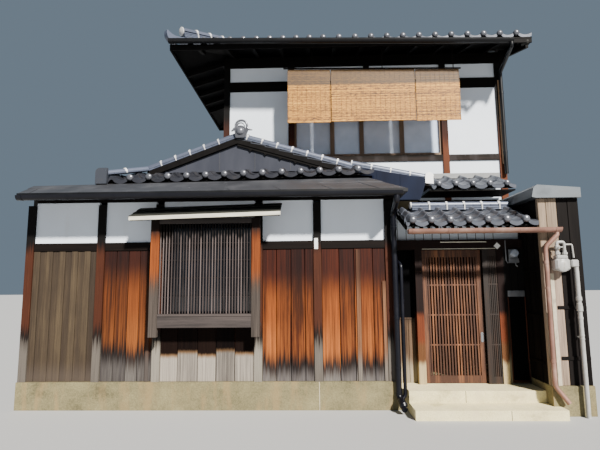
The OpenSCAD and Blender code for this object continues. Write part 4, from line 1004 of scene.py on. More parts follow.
def make_ornament():
    """Domed end tile under an arch with flared feet, at the top of the gable."""
    shape = Shape()
    at = Vector((RIDGE_X + 0.045, VERGE_Y - 0.004, RIDGE_Z + 0.086))
    dome = [(0.068 * math.sin(math.radians(a)), 0.068 * math.cos(math.radians(a))) for a in range(0, 90, 9)]
    shape.revolve(dome + [(0.0679, 0.001)], at, TO_STREET, 32, 0.75)
    arch = [(-0.132, 0.0), (-0.112, 0.012), (-0.09, 0.038)] + arc((0.015, 0.079), 0.084, 196, -16, 26)
    arch += [(0.108, 0.038), (0.135, 0.02), (0.178, 0.016)]
    arch_radii = [0.010, 0.014, 0.016] + [0.017] * 26 + [0.016, 0.014, 0.008]
    crescent = arc((0.008, 0.072), 0.052, 200, -20, 20)
    shape.tube([at + Vector((x, -0.02, z)) for x, z in arch], arch_radii, 14, 0.6)
    shape.tube([at + Vector((x, -0.024, z)) for x, z in crescent], 0.009, 10, 0.3)
    saddle = [(-0.066, -0.1), (0.066, -0.1), (0.12, 0.02), *arc((0, 0), 0.085, 50, 130, 9), (-0.09, 0.02)]
    shape.plate([(at.x + x, at.z + z) for x, z in saddle], at.y - 0.03, at.y, 0.2)
    shape.piece("gable_ornament", "nose", "roof_tiles", ["ridge_ornament"], sharp=40)


def make_verge_strips():
    """Black strips under the right and left verges, painted shadow of the ridges, with a hook below each
    ridge tile at the right.
    """
    black = Shape()

    def strip(p, q, lo, hi, y0, y1):
        """A strip along the verge between two points of X and Z, from lo to hi over them."""
        outline = [(p[0], p[1] + lo), (q[0], q[1] + lo), (q[0], q[1] + hi), (p[0], p[1] + hi)]
        black.plate(outline, VERGE_Y + y0, VERGE_Y + y1, 0.3)

    foot_left, foot_right = (GABLE_LEFT_X, SKIRT_TOP_Z), (GABLE_RIGHT_X, SKIRT_TOP_Z)
    apex = (RIDGE_X, RIDGE_Z)
    low_right = (RIGHT_EAVE_X - 0.03, RIGHT_EAVE_Z + 0.005)
    for p, q in ((foot_left, apex), (apex, foot_right), (foot_right, low_right)):
        strip(p, q, -0.088, -0.004, 0.001, 0.03)
    # A second, lower strip at the right paints the deeper shadow under that verge
    strip(apex, foot_right, -0.125, -0.088, 0.012, 0.035)
    for k in range(1, 8):
        x = RIDGE_X + VERGE_STEP * k - 0.03
        z = front_top_z(x)
        hook = [(x - 0.024, z - 0.12), (x + 0.024, z - 0.134), (x + 0.002, z - 0.155)]
        black.plate(hook, VERGE_Y + 0.010, VERGE_Y + 0.035, 0.3)
    black.piece("verge_strips", "black", "dark_timber")


def make_sheet_metal():
    """The sheet-metal eave, the seams of all sheet metal, and the eave's drip edge."""
    sheet, seams, fascia = Shape(), Shape(), Shape()
    left_x, right_x, front_y, front_z = METAL_FRONT
    hip_x, hip_z, sheet_t = 1.44, 2.9, 0.035
    back = (Vector((-3.064, SKIRT_EAVE_Y, 2.853)), Vector((hip_x, SKIRT_EAVE_Y, hip_z)))
    front = (Vector((left_x, front_y, front_z)), Vector((right_x, front_y, front_z)))
    hip_back = Vector((hip_x, GABLE_Y, hip_z))
    for corners in (
        (front[0], front[1], back[1], back[0]),
        (front[1], Vector((right_x, GABLE_Y, front_z)), hip_back, back[1]),
        (back[1], hip_back, Vector((GABLE_RIGHT_X - 0.06, GABLE_Y, hip_z)),
         Vector((SKIRT_RIGHT_X - 0.16, SKIRT_EAVE_Y, hip_z))),
    ):
        sheet.loft([c - UP * sheet_t for c in corners], corners)
    sheet.piece("eave_sheet", "eave", "black_metal", ["metal_eave"])

    def eave_strip(h, *places):
        """A thin raised strip over the sheet-metal eave; places are shares along it and up it."""
        spots = [front[0].lerp(front[1], s).lerp(back[0].lerp(back[1], s), u) for s, u in places]
        seams.loft([p + UP * 0.001 for p in spots], [p + UP * h for p in spots])

    eave_strip(0.007, (0.0, 0.62), (1.0, 0.62), (1.0, 1.0), (0.0, 1.0))
    for share in (0.03, 0.16, 0.29, 0.42, 0.55, 0.68, 0.81, 0.93):
        eave_strip(0.006, (share, 0.02), (share, 0.6), (share + 0.002, 0.6), (share + 0.002, 0.02))
    for x in (-1.15, -0.66, -0.14, 0.38, 0.9):
        top = (x + 0.004, GABLE_Y + 0.004, front_top_z(x) - 0.1)
        seams.box((x - 0.004, GABLE_Y - 0.003, SKIRT_TOP_Z - 0.03), top, 0.001)
    low_lo, low_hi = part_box("low_roofs")
    for y in np.arange(SKIRT_EAVE_Y + 0.2, low_hi.y - 0.1, 0.4):
        seams.box((low_lo.x + 0.004, y - 0.006, 2.818), (-2.19, y + 0.006, 2.845))
    for x in np.arange(RECESS_X[0] + 0.2, RECESS_X[1] - 0.1, 0.36):
        seams.box((x - 0.006, PORCH_RIDGE_Y + 0.08, 2.478), (x + 0.006, FRONT_DEPTH - 0.01, 2.5))
    seams.piece("sheet_seams", "eave", "black_metal")
    fascia.box((left_x, front_y - 0.006, front_z - 0.04), (right_x, front_y + 0.004, front_z + 0.004))
    fascia.piece("eave_drip_edge", "gutter", "black_metal")


def board_row(shape, x, widths, y, z, depth=0.003, gap=0.004, tones=None):
    """Boards side by side from x, each a little in or out, over the range z."""
    for k, w in enumerate(widths):
        tone = tones[k] if tones else rng.uniform(0.25, 0.8)
        push = rng.uniform(-depth, depth)
        shape.box((x + gap, y[0] + push, z[0]), (x + w - gap, y[1], z[1]), 0.003, tone)
        x += w


def bays():
    """Number, left edge and right edge of each bay between the front posts."""
    return [(k, a + POST_HALF, b - POST_HALF) for k, (a, b) in enumerate(zip(POST_X, POST_X[1:]))]


def make_front_boards():
    """Single boards between the posts, each a little different in width, depth and colour."""
    lo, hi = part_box("front_boards")
    olive, boards, shelf, trim = Shape(), Shape(), Shape(), Shape()
    for bay, left, right in bays():
        top = BAY_SILL_Z if bay == BAY else RAIL_Z
        if bay == 0:
            count = 10
            step = (right - left) / count
            for k in range(count):
                out, tone = (-0.004, 0.62) if k % 2 == 0 else (0.004, 0.38)
                x = left + k * step
                olive.box((x + 0.001, lo.y + out, lo.z), (x + step - 0.001, hi.y, top), 0.003, tone)
            continue
        scale = (right - left) / sum(BOARD_WIDTHS[bay])
        widths = [w * scale for w in BOARD_WIDTHS[bay]]
        board_row(shelf if bay == BAY else boards, left, widths, (lo.y, hi.y - 0.004), (lo.z, top))
        boards.box((left, hi.y - 0.005, lo.z), (right, hi.y, top), 0.001, 0.0)
    for x0, x1, out, top, tone in ((1.232, 1.285, 0.016, 1.95, 0.45), (1.556, 1.598, 0.016, 1.55, 0.55),
                                   (-1.42, -1.375, 0.014, 1.95, 0.1)):
        trim.box((x0, lo.y - out, lo.z), (x1, lo.y - 0.002, top), 0.003, tone)
    olive.piece("front_boards_left", "olive", "weathered_boards")
    shelf.piece("front_boards_below_bay", "shelf_board", "weathered_boards")
    boards.piece("front_boards_single", "board", "weathered_boards", ["front_boards"])
    trim.piece("front_board_battens", "batten", "weathered_boards")


def make_front_wall():
    """Rails, eave beams and plaster panels of the front wall."""
    rails, plaster = Shape(), Shape()
    for bay, left, right in bays():
        if bay != BAY:
            rails.box((left, 0.008, RAIL_Z), (right, 0.09, RAIL_TOP_Z), 0.004)
        plaster.box((left, 0.03, 2.36 if bay == BAY else RAIL_TOP_Z), (right, 0.08, BEAM_Z), 0.001)
    end_x = RECESS_X[0] - 0.15
    for x0, x1, y0, y1, z0, z1 in (
        (WALL_LEFT_X, end_x, 0.0, 0.11, BEAM_Z, 2.762), (end_x, RECESS_X[0], 0.0, 0.11, BEAM_Z, 2.645),
        (WALL_LEFT_X, UPPER_LEFT_X, FRONT_DEPTH, FRONT_DEPTH + 0.12, 2.45, 2.795),
        (UPPER_LEFT_X, WALL_RIGHT_X, FRONT_DEPTH, FRONT_DEPTH + 0.12, 2.45, 2.83),
    ):
        rails.box((x0, y0, z0), (x1, y1, z1), 0.004)
    plaster.box((RECESS_X[0], INNER_Y, HEAD_Z + 0.125), (RECESS_X[1], INNER_Y + 0.05, 2.448), 0.001)
    rails.piece("front_rails_and_beams", "dark_x", "dark_timber", ["wall_beams"])
    plaster.piece("front_plaster_panels", "plaster", "plaster", ["front_plaster"])


def make_bay():
    """Frame of the bay window and its fine lattice."""
    timber, rails, bars = Shape(), Shape(), Shape()
    left, right = BAY_X
    stile, out, head_top, foot = 0.105, 0.22, 2.345, 0.893
    sill_top = BAY_SILL_Z + 0.165
    x0, x1 = left + stile, right - stile
    for x in (left, x1):
        timber.box((x, -out, foot), (x + stile, 0.06 - out, head_top), 0.004, rng.uniform(0.4, 0.6))
    for x in (left + 0.02, right - 0.04):
        timber.box((x, 0.06 - out, BAY_SILL_Z + 0.04), (x + 0.02, 0.0, head_top))
    rails.box((x0, 0.005 - out, BAY_SILL_Z), (x1, 0.055 - out, sill_top), 0.004, 0.45)
    rails.box((x0, -0.002 - out, sill_top - 0.03), (x1, 0.02 - out, sill_top - 0.004), 0.003, 0.75)
    rails.box((x0, 0.005 - out, BAY_TOP_Z), (x1, 0.055 - out, head_top), 0.003, 0.2)
    rails.box((left + 0.01, 0.06 - out, BAY_SILL_Z), (right - 0.01, 0.0, BAY_SILL_Z + 0.04), 0.003)
    count, half_bar = 32, 0.0065
    y = 0.014 - out
    for k in range(count):
        x = x0 + (k + 0.5) * (x1 - x0) / count + rng.uniform(-0.001, 0.001)
        top = (x + half_bar, y + 0.016, BAY_TOP_Z)
        bars.box((x - half_bar, y, sill_top), top, 0.002, rng.uniform(0.2, 0.9))
    for z in (1.366, 1.596, 1.816, 2.026):
        bars.box((x0, y + 0.005, z + 0.004), (x1, y + 0.011, z + 0.010), 0.001, 0.0)
    timber.piece("bay_frame_timber", "bay", "bay_timber", ["bay_frame"])
    rails.piece("bay_rails", "rail_x", "bay_timber")
    bars.piece("bay_lattice_bars", "bar", "bay_timber", ["bay_lattice"])


def make_side_eave():
    """Cladding under the right verge, painted navy for the verge's shade, and the boarded soffit over the
    entrance.
    """
    cladding, soffit = Shape(), Shape()
    left, right, up = 1.29, 2.313, 0.02
    cladding.plate([
        (left, front_top_z(left) + up), (left, 2.908), (1.44, 2.908), (1.78, SIDE_BOX_Z + 0.006),
        (SIDE_BOX_X + 0.007, SIDE_BOX_Z), (right, 2.935), (right, front_top_z(right) + up),
    ], VERGE_Y - 0.016, VERGE_Y - 0.003)
    for x in (1.62, 1.95):
        cladding.box((x, VERGE_Y - 0.019, 2.80), (x + 0.006, VERGE_Y - 0.014, front_top_z(x)), 0.001, 0.3)
    edge = SIDE_BOX_X + 0.07
    under = front_top_z(edge) - ROOF_T - 0.004
    x0, top = RECESS_X[0] + 0.002, SIDE_BOX_Z + 0.022
    soffit.plate([
        (x0, SIDE_BOX_Z), (SIDE_BOX_X, SIDE_BOX_Z), (edge, under), (edge - 0.024, under + 0.004),
        (SIDE_BOX_X - 0.016, top), (x0, top),
    ], GABLE_Y + 0.044, FRONT_DEPTH)
    cladding.piece("verge_cladding", "gable", "black_metal")
    soffit.piece("side_soffit", "soffit", "soffit_boards", ["side_eave_box"])


def rafter(eave_z, fall, first_u, end_u, drop):
    """Side of a rafter under a slope's boards, as (distance from the eave, height)."""
    corners = ((first_u, drop), (end_u, drop), (end_u, 0.001), (first_u, 0.001))
    return [(u, eave_z - ROOF_T + fall * u - down) for u, down in corners]


def make_upper_rafters():
    """Rafters, fascias, barge boards and a corner bracket under the upper roof."""
    shape = Shape()
    depth, width, spacing = 0.072, 0.054, 0.42
    back_out = FRONT_DEPTH + 0.09 - UPPER_EAVE_Y
    top = UPPER_EAVE_Z - ROOF_T
    foot = top - 0.07

    def section(end_u, drop, first_u=0.027):
        return rafter(UPPER_EAVE_Z, UPPER_FALL, first_u, end_u, drop)

    for side in (1, -1):
        eave_y = UPPER_RIDGE_Y - side * UPPER_RUN
        for x in np.arange(UPPER_EAVE_X + spacing, UPPER_RIGHT_X, spacing):
            outline = section(min(back_out, x - UPPER_EAVE_X - 0.06), depth)
            shape.beam([(eave_y + side * u, z) for u, z in outline], *(x, x + width)[::side])
        barge = section(UPPER_RUN, 0.15, 0.028)
        shape.beam([(eave_y + side * u, z) for u, z in barge], *(3.95, 3.99)[::side], 0.4)
        back = 0.118 if side < 0 else 0.002
        y0, y1 = sorted((eave_y + side * back, eave_y + side * (back + 0.024)))
        shape.box((UPPER_EAVE_X + 0.002, y0, foot), (UPPER_VERGE_X - 0.002, y1, top), 0.003)
    for y in np.arange(FRONT_DEPTH + 0.2, REAR_Y - 0.2, spacing):
        shape.plate([(UPPER_EAVE_X + u, z) for u, z in section(back_out, depth)], y, y + width)
    shape.box((UPPER_EAVE_X + 0.002, UPPER_EAVE_Y + 0.027, foot),
              (UPPER_EAVE_X + 0.026, UPPER_RIDGE_Y + UPPER_RUN - 0.15, top), 0.003)
    x = UPPER_RIGHT_X + 0.003
    shape.plate([(x, 4.975), (4.02, 5.37), (x, 5.37)], FRONT_DEPTH + 0.002, FRONT_DEPTH + 0.06)
    shape.piece("upper_rafter_timber", "black", "dark_timber", ["upper_rafters"])


def make_entrance_rafters():
    """Close-set slats under the boards of the entrance roof."""
    shape = Shape()
    outline = rafter(PORCH_EAVE_Z, PORCH_FALL, 0.05, INNER_Y - PORCH_EAVE_Y, 0.042)
    for x in np.arange(PORCH_X[0] + 0.02, PORCH_X[1] - 0.04, 0.095):
        shape.beam([(PORCH_EAVE_Y + u, z) for u, z in outline], x, x + 0.02)
    shape.piece("entrance_slats", "dark", "dark_timber", ["entrance_rafters"])


def make_hood():
    """The boarded hood over the bay, with a bleached front edge and battens below."""
    mid = Vector((sum(BAY_X) / 2 + 0.02, 0, 2.372))
    turn = Matrix.Translation(mid) @ Matrix.Rotation(math.radians(-1.4), 4, "Y")
    half, courses, front_y, depth, lap = 0.921, 3, -0.374, 0.372, 0.012
    rise = 0.157 / 0.373
    boards, edge, under = Shape(), Shape(), Shape()
    for k in range(courses):
        y0 = front_y + k * depth / courses
        y1 = y0 + depth / courses + lap
        z0, z1 = (y0 - front_y) * rise, (y1 - front_y) * rise
        y1 = min(y1, -0.002)
        boards.beam([(y0, z0 - 0.004), (y1, z1 - 0.012), (y1, z1), (y0, z0 + 0.010)], -half, half, 0.5, turn)
    for shape, reach, tone, outline in (
        (edge, half, 0.8, [(-0.375, -0.047), (-0.352, -0.047), (-0.352, 0.002), (-0.375, -0.002)]),
        (under, half - 0.01, 0.3, [(-0.352, -0.05), (-0.33, -0.05), (-0.33, -0.012), (-0.352, -0.012)]),
        (under, half - 0.02, 0.3, [(-0.35, -0.022), (-0.003, 0.12), (-0.003, 0.14), (-0.35, -0.006)]),
    ):
        shape.beam(outline, -reach, reach, tone, turn)
    for x in np.linspace(-half + 0.12, half - 0.12, 5):
        batten = [(-0.33, -0.045), (-0.01, 0.088), (-0.01, 0.125), (-0.33, -0.012)]
        under.beam(batten, x - 0.016, x + 0.016, 0.6, turn)
    boards.piece("hood_boards", "hood", "bleached_timber", ["bay_hood"])
    edge.piece("hood_front_edge", "bleached", "bleached_timber")
    under.piece("hood_battens", "dark_x", "dark_timber")


def make_blinds():
    """Three bamboo blinds on their pole: thin slats bound by upright cords."""
    plane_y, foot_z, beam_z, slat = 1.02, 3.995, 5.32, 0.0068
    edges = ((0.325, 1.0), (1.006, 2.316), (2.322, 3.005))
    pole_x, pole_left_z, pole_fall = (0.262, 3.03), 4.885, 0.018
    shape, cords, pole = Shape(), Shape(), Shape()

    def pole_z(x):
        return pole_left_z - pole_fall * (x - pole_x[0])

    for blind, (left, right) in enumerate(edges):
        bottom = foot_z + (0.0, 0.012, 0.002)[blind]
        top = pole_z(left) - 0.013
        for row in range(int((top - bottom) / slat)):
            z = bottom + (row + 0.5) * slat
            y = plane_y + 0.004 * math.sin(z * 9 + blind) + rng.uniform(-0.0008, 0.0008)
            # Slats next to the pole slope as it does, and half a metre below it they are level
            slope = -pole_fall * max(0.0, (z - 4.4) / 0.5)
            ends = []
            for x in (left + rng.uniform(0.0, 0.006), right - rng.uniform(0.0, 0.006)):
                mid_z = z + slope * (x - left)
                ends.append([(x, y + a * 0.0016, mid_z + b * 0.0029) for a, b in SQUARE])
            shape.loft(*ends, rng.uniform(0, 1))
        count = round((right - left) / 0.075)
        for k in range(count + 1):
            x = left + 0.012 + (right - left - 0.024) * k / count
            lo, hi = (x - 0.0012, plane_y - 0.0062, bottom), (x + 0.0012, plane_y - 0.0047, top - 0.012)
            cords.box(lo, hi, 0.0003, 0.0)
        foot = (left + 0.002, plane_y - 0.006, bottom - 0.001)
        shape.box(foot, (right - 0.002, plane_y + 0.006, bottom + 0.012), 0.002, 0.7)
    shape.piece("bamboo_slats", "bamboo", "bamboo", ["bamboo_blinds"])
    cords.piece("bamboo_cords", "bamboo", "bamboo")
    pole.tube([(x, plane_y, pole_z(x)) for x in pole_x], 0.012)
    for x in (0.715, 1.813, 2.917):
        pole.box((x - 0.006, plane_y - 0.006, pole_z(x)), (x + 0.006, plane_y + 0.006, beam_z))
    pole.piece("blind_pole_and_hooks", "dark_x", "dark_timber", ["blind_pole"])


def gutter(shape, p, q, straps=0.6):
    """A half-round gutter with a rolled lip, and straps that hold it."""
    p, q = Vector(p), Vector(q)
    r = 0.052
    along, across = axes(p, q)
    length = (q - p).length

    def ring(d, outline):
        """An outline across the gutter at a distance along it."""
        return [p + along * d + across * a + UP * b for a, b in outline]

    bowl = arc((0, 0), r, 180, 360, 15)
    lip = [(r + 0.004, 0.004), (r, 0.008), (r - 0.005, 0.004)]
    section = bowl + lip + arc((0, 0), r - 0.004, 360, 180, 15)[1:] + [(-r - 0.002, 0.006)]
    shape.rings([ring(d, section) for d in (0, length)])
    count = max(1, round(length / straps))
    for k in range(count + 1):
        d = 0.06 + (length - 0.12) * k / count
        strap = arc((0, 0), r + 0.0035, 176.4, 363.6, 13)
        shape.rings([ring(d + e, strap) for e in (-0.011, 0.011)], 0.7, closed=False, caps=False)
        place = Matrix.Translation(p + along * d) @ Matrix((along, across, UP)).transposed().to_4x4()
        shape.box((-0.004, -r, 0.002), (0.004, r, 0.006), 0.001, 0.6, place)
    for d in (0.0, length):
        shape.add(ring(d, bowl), [range(15)])


def pipe(shape, path, r, collars=()):
    """A round pipe with bends, and collars at given places on its straight stretches."""
    path = [Vector(p) for p in path]
    smooth = path[:1]
    for before, p, after in zip(path, path[1:], path[2:]):
        reach = min(0.5 * (before - p).length, 0.5 * (after - p).length, 1.6 * r)
        start = p + (before - p).normalized() * reach
        end = p + (after - p).normalized() * reach
        for t in np.linspace(0, 1, 7):
            smooth.append((1 - t) ** 2 * start + 2 * t * (1 - t) * p + t * t * end)
    shape.tube(smooth + path[-1:], r, 20)
    for point in collars:
        shape.revolve([(-0.02, r), (-0.018, r + 0.004), (0.018, r + 0.004), (0.02, r)], point, UP, 20, 0.7)


def pipe_bracket(shape, x, y, z, r, wall_y):
    """A band round a pipe with a stem back to the wall."""
    shape.revolve([(-0.009, r), (-0.009, r + 0.003), (0.009, r + 0.003), (0.009, r)], (x, y, z), UP, 20, 0.6)
    shape.box((x - 0.005, y + r, z - 0.008), (x + 0.005, wall_y, z + 0.008), 0.001, 0.6)


def make_gutters():
    """Gutters of all eaves with their rain pipes."""
    shape = Shape()
    y, z = -0.441, 2.602
    pipe_x, pipe_y, thin_x = 1.706, -0.062, 1.783
    gutter(shape, (-2.876, y, z), (1.76, y, z))
    path = [(1.69, y, z - 0.048), (1.69, y, 2.5), (pipe_x, pipe_y, 2.4), (pipe_x, pipe_y, 0.16),
            (1.735, -0.24, 0.062)]
    pipe(shape, path, 0.036, [(pipe_x, pipe_y, v) for v in (2.2, 1.1, 0.2)])
    path = [(1.762, 0.06, 1.8), (thin_x, pipe_y, 1.74), (thin_x, pipe_y, 0.19), (1.74, -0.08, 0.14)]
    pipe(shape, path, 0.022, [(thin_x, pipe_y, 1.3)])
    for v in (2.24, 1.25, 0.5):
        pipe_bracket(shape, pipe_x, pipe_y, v, 0.036, 0.001)
    shoe = [(0.0, 0.036), (0.02, 0.046), (0.10, 0.05), (0.13, 0.03)]
    shape.revolve(shoe, (1.712, -0.11, 0.145), (0.2, -0.85, -0.45), 16, 0.3)
    shape.piece("front_gutter_metal", "pipe", "gutter_metal", ["front_gutter"])

    shape = Shape()
    (left_x, left_z), (right_x, right_z) = (-1.47, 5.225), (3.715, 5.112)
    pipe_x, pipe_y = 3.825, FRONT_DEPTH - 0.045
    mirror_y = 2 * UPPER_RIDGE_Y
    rear_y = mirror_y - UPPER_EAVE_Y - 0.06
    for y, wall_y, foot_z in ((0.698, pipe_y, 3.24), (rear_y, mirror_y - pipe_y, 0.06)):
        gutter(shape, (left_x, y, left_z), (right_x, y, right_z))
        down = [(pipe_x, wall_y, v) for v in (4.955, foot_z)]
        collars = [(pipe_x, wall_y, v) for v in (4.6, 3.6)]
        pipe(shape, [(3.69, y, right_z - 0.046), (3.69, y, 5.01), *down], 0.03, collars)
    shape.piece("upper_gutter_metal", "gutter", "gutter_metal", ["upper_gutter"])

    shape = Shape()
    y, pipe_y = PORCH_EAVE_Y - 0.045, -0.312
    gutter(shape, (1.83, y, 2.152), (3.625, y, 2.152), straps=0.45)
    path = [(3.575, y, 2.104), (3.575, y, 2.07), (3.44, pipe_y, 1.93), (3.432, pipe_y, 0.34),
            (3.56, -0.345, 0.16)]
    pipe(shape, path, 0.027, [(3.436, pipe_y, 1.75), (3.432, pipe_y, 0.62)])
    for x, z in ((3.434, 1.45), (3.432, 0.62)):
        pipe_bracket(shape, x, pipe_y, z, 0.027, ANNEX_Y + 0.001)
    shape.piece("copper_gutter_metal", "copper", "copper", ["copper_gutter"])


def make_windows():
    """Shades with slats and pale screens behind the glass of the window bands."""
    shades, screens = Shape(), Shape()
    z0, z1 = WINDOW_Z[0] + 0.044, WINDOW_Z[1] - 0.044
    pitch, slat = 0.021, 0.017
    for y, into in ((FRONT_DEPTH + 0.084, 1), (REAR_Y - 0.084, -1)):
        for k, (a, b) in enumerate(zip(SASH_X, SASH_X[1:])):
            left, right = a + 0.03, b - 0.03
            if k % 2:
                near, far = sorted((y, y + into * 0.006))
                screens.box((left, near, z0), (right, far, z1))
                continue
            near, far = sorted((y, y + into * 0.004))
            for z in np.arange(z0, z1, pitch):
                shades.box((left, near, z), (right, far, z + slat), 0.001, rng.uniform(0.4, 0.6))
            shades.box((left, y - 0.006, 4.02), (right, y + 0.006, 4.045), 0.002, 0.9)
    shades.piece("window_shades", "shade", "window_timber")
    screens.piece("window_screens", "curtain", "window_timber")


def make_wall_fittings():
    """Bare plate and diamond, joints of the concrete, and pale strips over the door that paint highlights on
    the lit edges of its beams.
    """
    plates, joints, grooves, edge_highlights = Shape(), Shape(), Shape(), Shape()
    plates.box((0.710, -0.006, 1.958), (0.757, -0.0005, 2.096))
    x, z, reach = 3.093, 1.99, 0.044
    diamond = [(x + reach, z), (x, z + reach), (x - reach, z), (x, z - reach)]
    plates.plate(diamond, SCREEN_Y - 0.004, SCREEN_Y - 0.001, 0.8)
    plates.piece("bare_plates", "plate", "meter_metal")
    joints.box((0.749, -0.0215, 0.0), (0.756, -0.019, PLINTH_Z), 0.0005)
    joints.piece("plinth_joint", "mortar", "concrete")
    grooves.box((2.478, -0.1212, 0.11), (2.484, -0.119, LANDING_Z - 0.002), 0.0005)
    grooves.box((2.87, -0.4412, 0.002), (2.876, -0.439, 0.108), 0.0005)
    grooves.piece("step_joints", "hood", "concrete")
    # Pale strips over the door: painted highlights on the sunlit top edges of its beams
    edge_highlights.box((2.36, SCREEN_Y - 0.008, 2.040), (2.955, SCREEN_Y - 0.0005, 2.050), 0.002, 0.9)
    edge_highlights.box((2.12, SCREEN_Y - 0.006, 1.953), (3.07, SCREEN_Y - 0.0005, 1.962), 0.002, 0.4)
    edge_highlights.piece("lintel_edge_highlights", "bleached", "door_timber")


def make_entrance():
    """Boards, black panels of painted shade, and battens inside the entrance recess."""
    boards, panels, battens, slats = Shape(), Shape(), Shape(), Shape()
    left, post_left, back_y = RECESS_X[0], 2.02, INNER_Y + 0.007
    widths = [(post_left - left) / 3] * 3
    board_row(boards, left, widths, (INNER_Y - 0.012, back_y), (LANDING_Z, 1.05), 0.001, 0.002)
    # Black panel where the boards above z 1.07 lie in shade: painted shade
    panels.box((left + 0.02, INNER_Y - 0.006, 1.07), (post_left - 0.01, back_y, HEAD_Z - 0.01), 0.003, 0.3)
    boards.box((left, INNER_Y - 0.016, 1.045), (post_left, back_y, 1.072), 0.003, 0.4)
    front_y, back_y = SCREEN_Y - 0.008, SCREEN_Y + 0.0055
    # Black panel right of the door, its darkness partly painted shade of the recess
    panels.box((3.195, SCREEN_Y + 0.002, LANDING_Z + 0.05), (3.40, back_y, 1.325), 0.002, 0.2)
    foot_z = LANDING_Z + 0.02
    for x0, x1, top in ((3.186, 3.199, 1.33), (3.398, 3.411, 1.33), (3.186, 3.411, LANDING_Z + 0.05)):
        battens.box((x0, front_y, foot_z), (x1, back_y, top), 0.002, 0.6)
    wall_x = ANNEX_X[0] - 0.0005
    for z in (0.55, 1.1, 1.65, 2.2):
        slats.box((ANNEX_X[0] - 0.012, ANNEX_Y + 0.1, z), (wall_x, INNER_Y, z + 0.035), 0.002, 0.4)
    for y in np.arange(ANNEX_Y + 0.16, INNER_Y, 0.18):
        slats.box((ANNEX_X[0] - 0.008, y, PLINTH_Z), (wall_x, y + 0.02, 2.2), 0.002, 0.2)
    for x in np.arange(left + 0.09, RECESS_X[1] - 0.3, 0.115):
        slats.box((x, INNER_Y - 0.0015, HEAD_Z + 0.127), (x + 0.008, INNER_Y - 0.0002, 2.446), 0.0004, 0.2)
    boards.piece("recess_boards", "side_boards", "dark_boards")
    panels.piece("dark_panels", "painted_shade_black", "dark_boards")
    battens.piece("recess_battens", "frame", "dark_boards")
    slats.piece("recess_wall_battens", "annex_dark", "dark_boards")


def make_annex():
    """Weathered boards of the annex, with a lighter strip of mortar at its left edge."""
    boards, mortar, dark = Shape(), Shape(), Shape()
    x, y, z = ANNEX_X[0], (ANNEX_Y, ANNEX_Y + 0.058), (PLINTH_Z, ANNEX_TOP_Z)
    board_row(boards, x, [0.095, 0.125], y, z, 0.002, 0.002, (0.75, 0.6))
    # The right boards and the side face are near black, partly painted shade
    board_row(dark, x + 0.22, [0.13, 0.13], y, z, 0.002, 0.002, (0.5, 0.35))
    start = ANNEX_Y + 0.06
    count = 9
    step = (FRONT_DEPTH - start) / count
    for k in range(count):
        y0 = start + step * k
        lo = (x + rng.uniform(0, 0.003), y0 + 0.002, z[0])
        dark.box(lo, (x + 0.058, y0 + step - 0.002, z[1]), 0.003, rng.uniform(0.3, 0.6))
    for x0, x1, top in ((3.428, 3.452, 1.16), (3.50, 3.545, 1.62)):
        mortar.box((x0, ANNEX_Y - 0.007, PLINTH_Z), (x1, ANNEX_Y - 0.0005, top), 0.003)
    for foot in (0.62, 1.2):
        dark.box((3.56, ANNEX_Y - 0.010, foot), (3.895, ANNEX_Y - 0.0005, foot + 0.04), 0.003, 0.3)
    boards.piece("annex_pale_boards", "annex", "weathered_boards", ["annex_wall"])
    dark.piece("annex_dark_boards", "annex_dark", "weathered_boards")
    mortar.piece("annex_mortar_strips", "mortar", "concrete")


def make_rear_and_sides():
    """Upright battens over the boards of the party walls and the rear wall."""
    battens, rear = Shape(), Shape()
    out, width = 0.014, 0.03
    for y in np.arange(0.25, REAR_Y - 0.05, 0.36):
        for x, top in ((-3.02 - out, 2.8), (3.9, 2.8 if y > FRONT_DEPTH else 2.5)):
            battens.box((x, y, PLINTH_Z), (x + out, y + width, top), 0.002, rng.uniform(0.3, 0.7))
    battens.piece("party_battens", "party", "party_boards")
    for x in np.arange(-2.95, 3.85, 0.34):
        rear.box((x, REAR_Y, PLINTH_Z), (x + width, REAR_Y + out, 2.72), 0.002, rng.uniform(0.3, 0.7))
    for z in (PLINTH_Z, 1.45, 2.6):
        rear.box((WALL_LEFT_X, REAR_Y, z), (WALL_RIGHT_X, REAR_Y + out + 0.008, z + 0.06), 0.002, 0.4)
    rear.piece("rear_battens", "rear", "weathered_boards")


def make_corner_boards():
    """The pale corner board at the upper right, and the block at the end of the verge."""
    pale, block = Shape(), Shape()
    x = UPPER_RIGHT_X - 0.062
    pale.box((x, FRONT_DEPTH - 0.010, 3.42), (x + 0.036, FRONT_DEPTH - 0.0005, 4.84), 0.003, 0.6)
    pale.piece("upper_corner_board", "new_wood", "dark_timber")
    block.box((3.90, 0.80, 5.09), (4.02, 0.87, 5.20), 0.012, 0.3)
    boss = [(0.0, 0.036), (0.012, 0.04), (0.016, 0.03), (0.02, 0.004)]
    block.revolve(boss, (3.975, 0.80, 5.135), TO_STREET, 20)
    block.piece("verge_end_block", "hood", "dark_timber")


def make_door_pull():
    """A shallow pull on the door's stile; it stays 5 mm clear of the fixed lattice."""
    shape = Shape()
    centre = Vector((2.853, DOOR_Y, 0.82))
    proud = 0.004

    def oval(reach, r):
        return arc((0.0, reach), r, 0, 180, 10) + arc((0.0, -reach), r, 180, 360, 10)

    outer, inner = oval(0.045, 0.017), oval(0.042, 0.011)
    rim = [(x * 0.9, z * 0.9) for x, z in outer]
    steps = ((outer, 0.0), (outer, 0.001 - proud), (rim, -proud), (inner, -proud), (inner, -0.0008))
    shape.rings([[centre + Vector((x, y, z)) for x, z in ring] for ring, y in steps], 0.6)
    shape.piece("door_pull", "steel", "slot_metal", body="door")


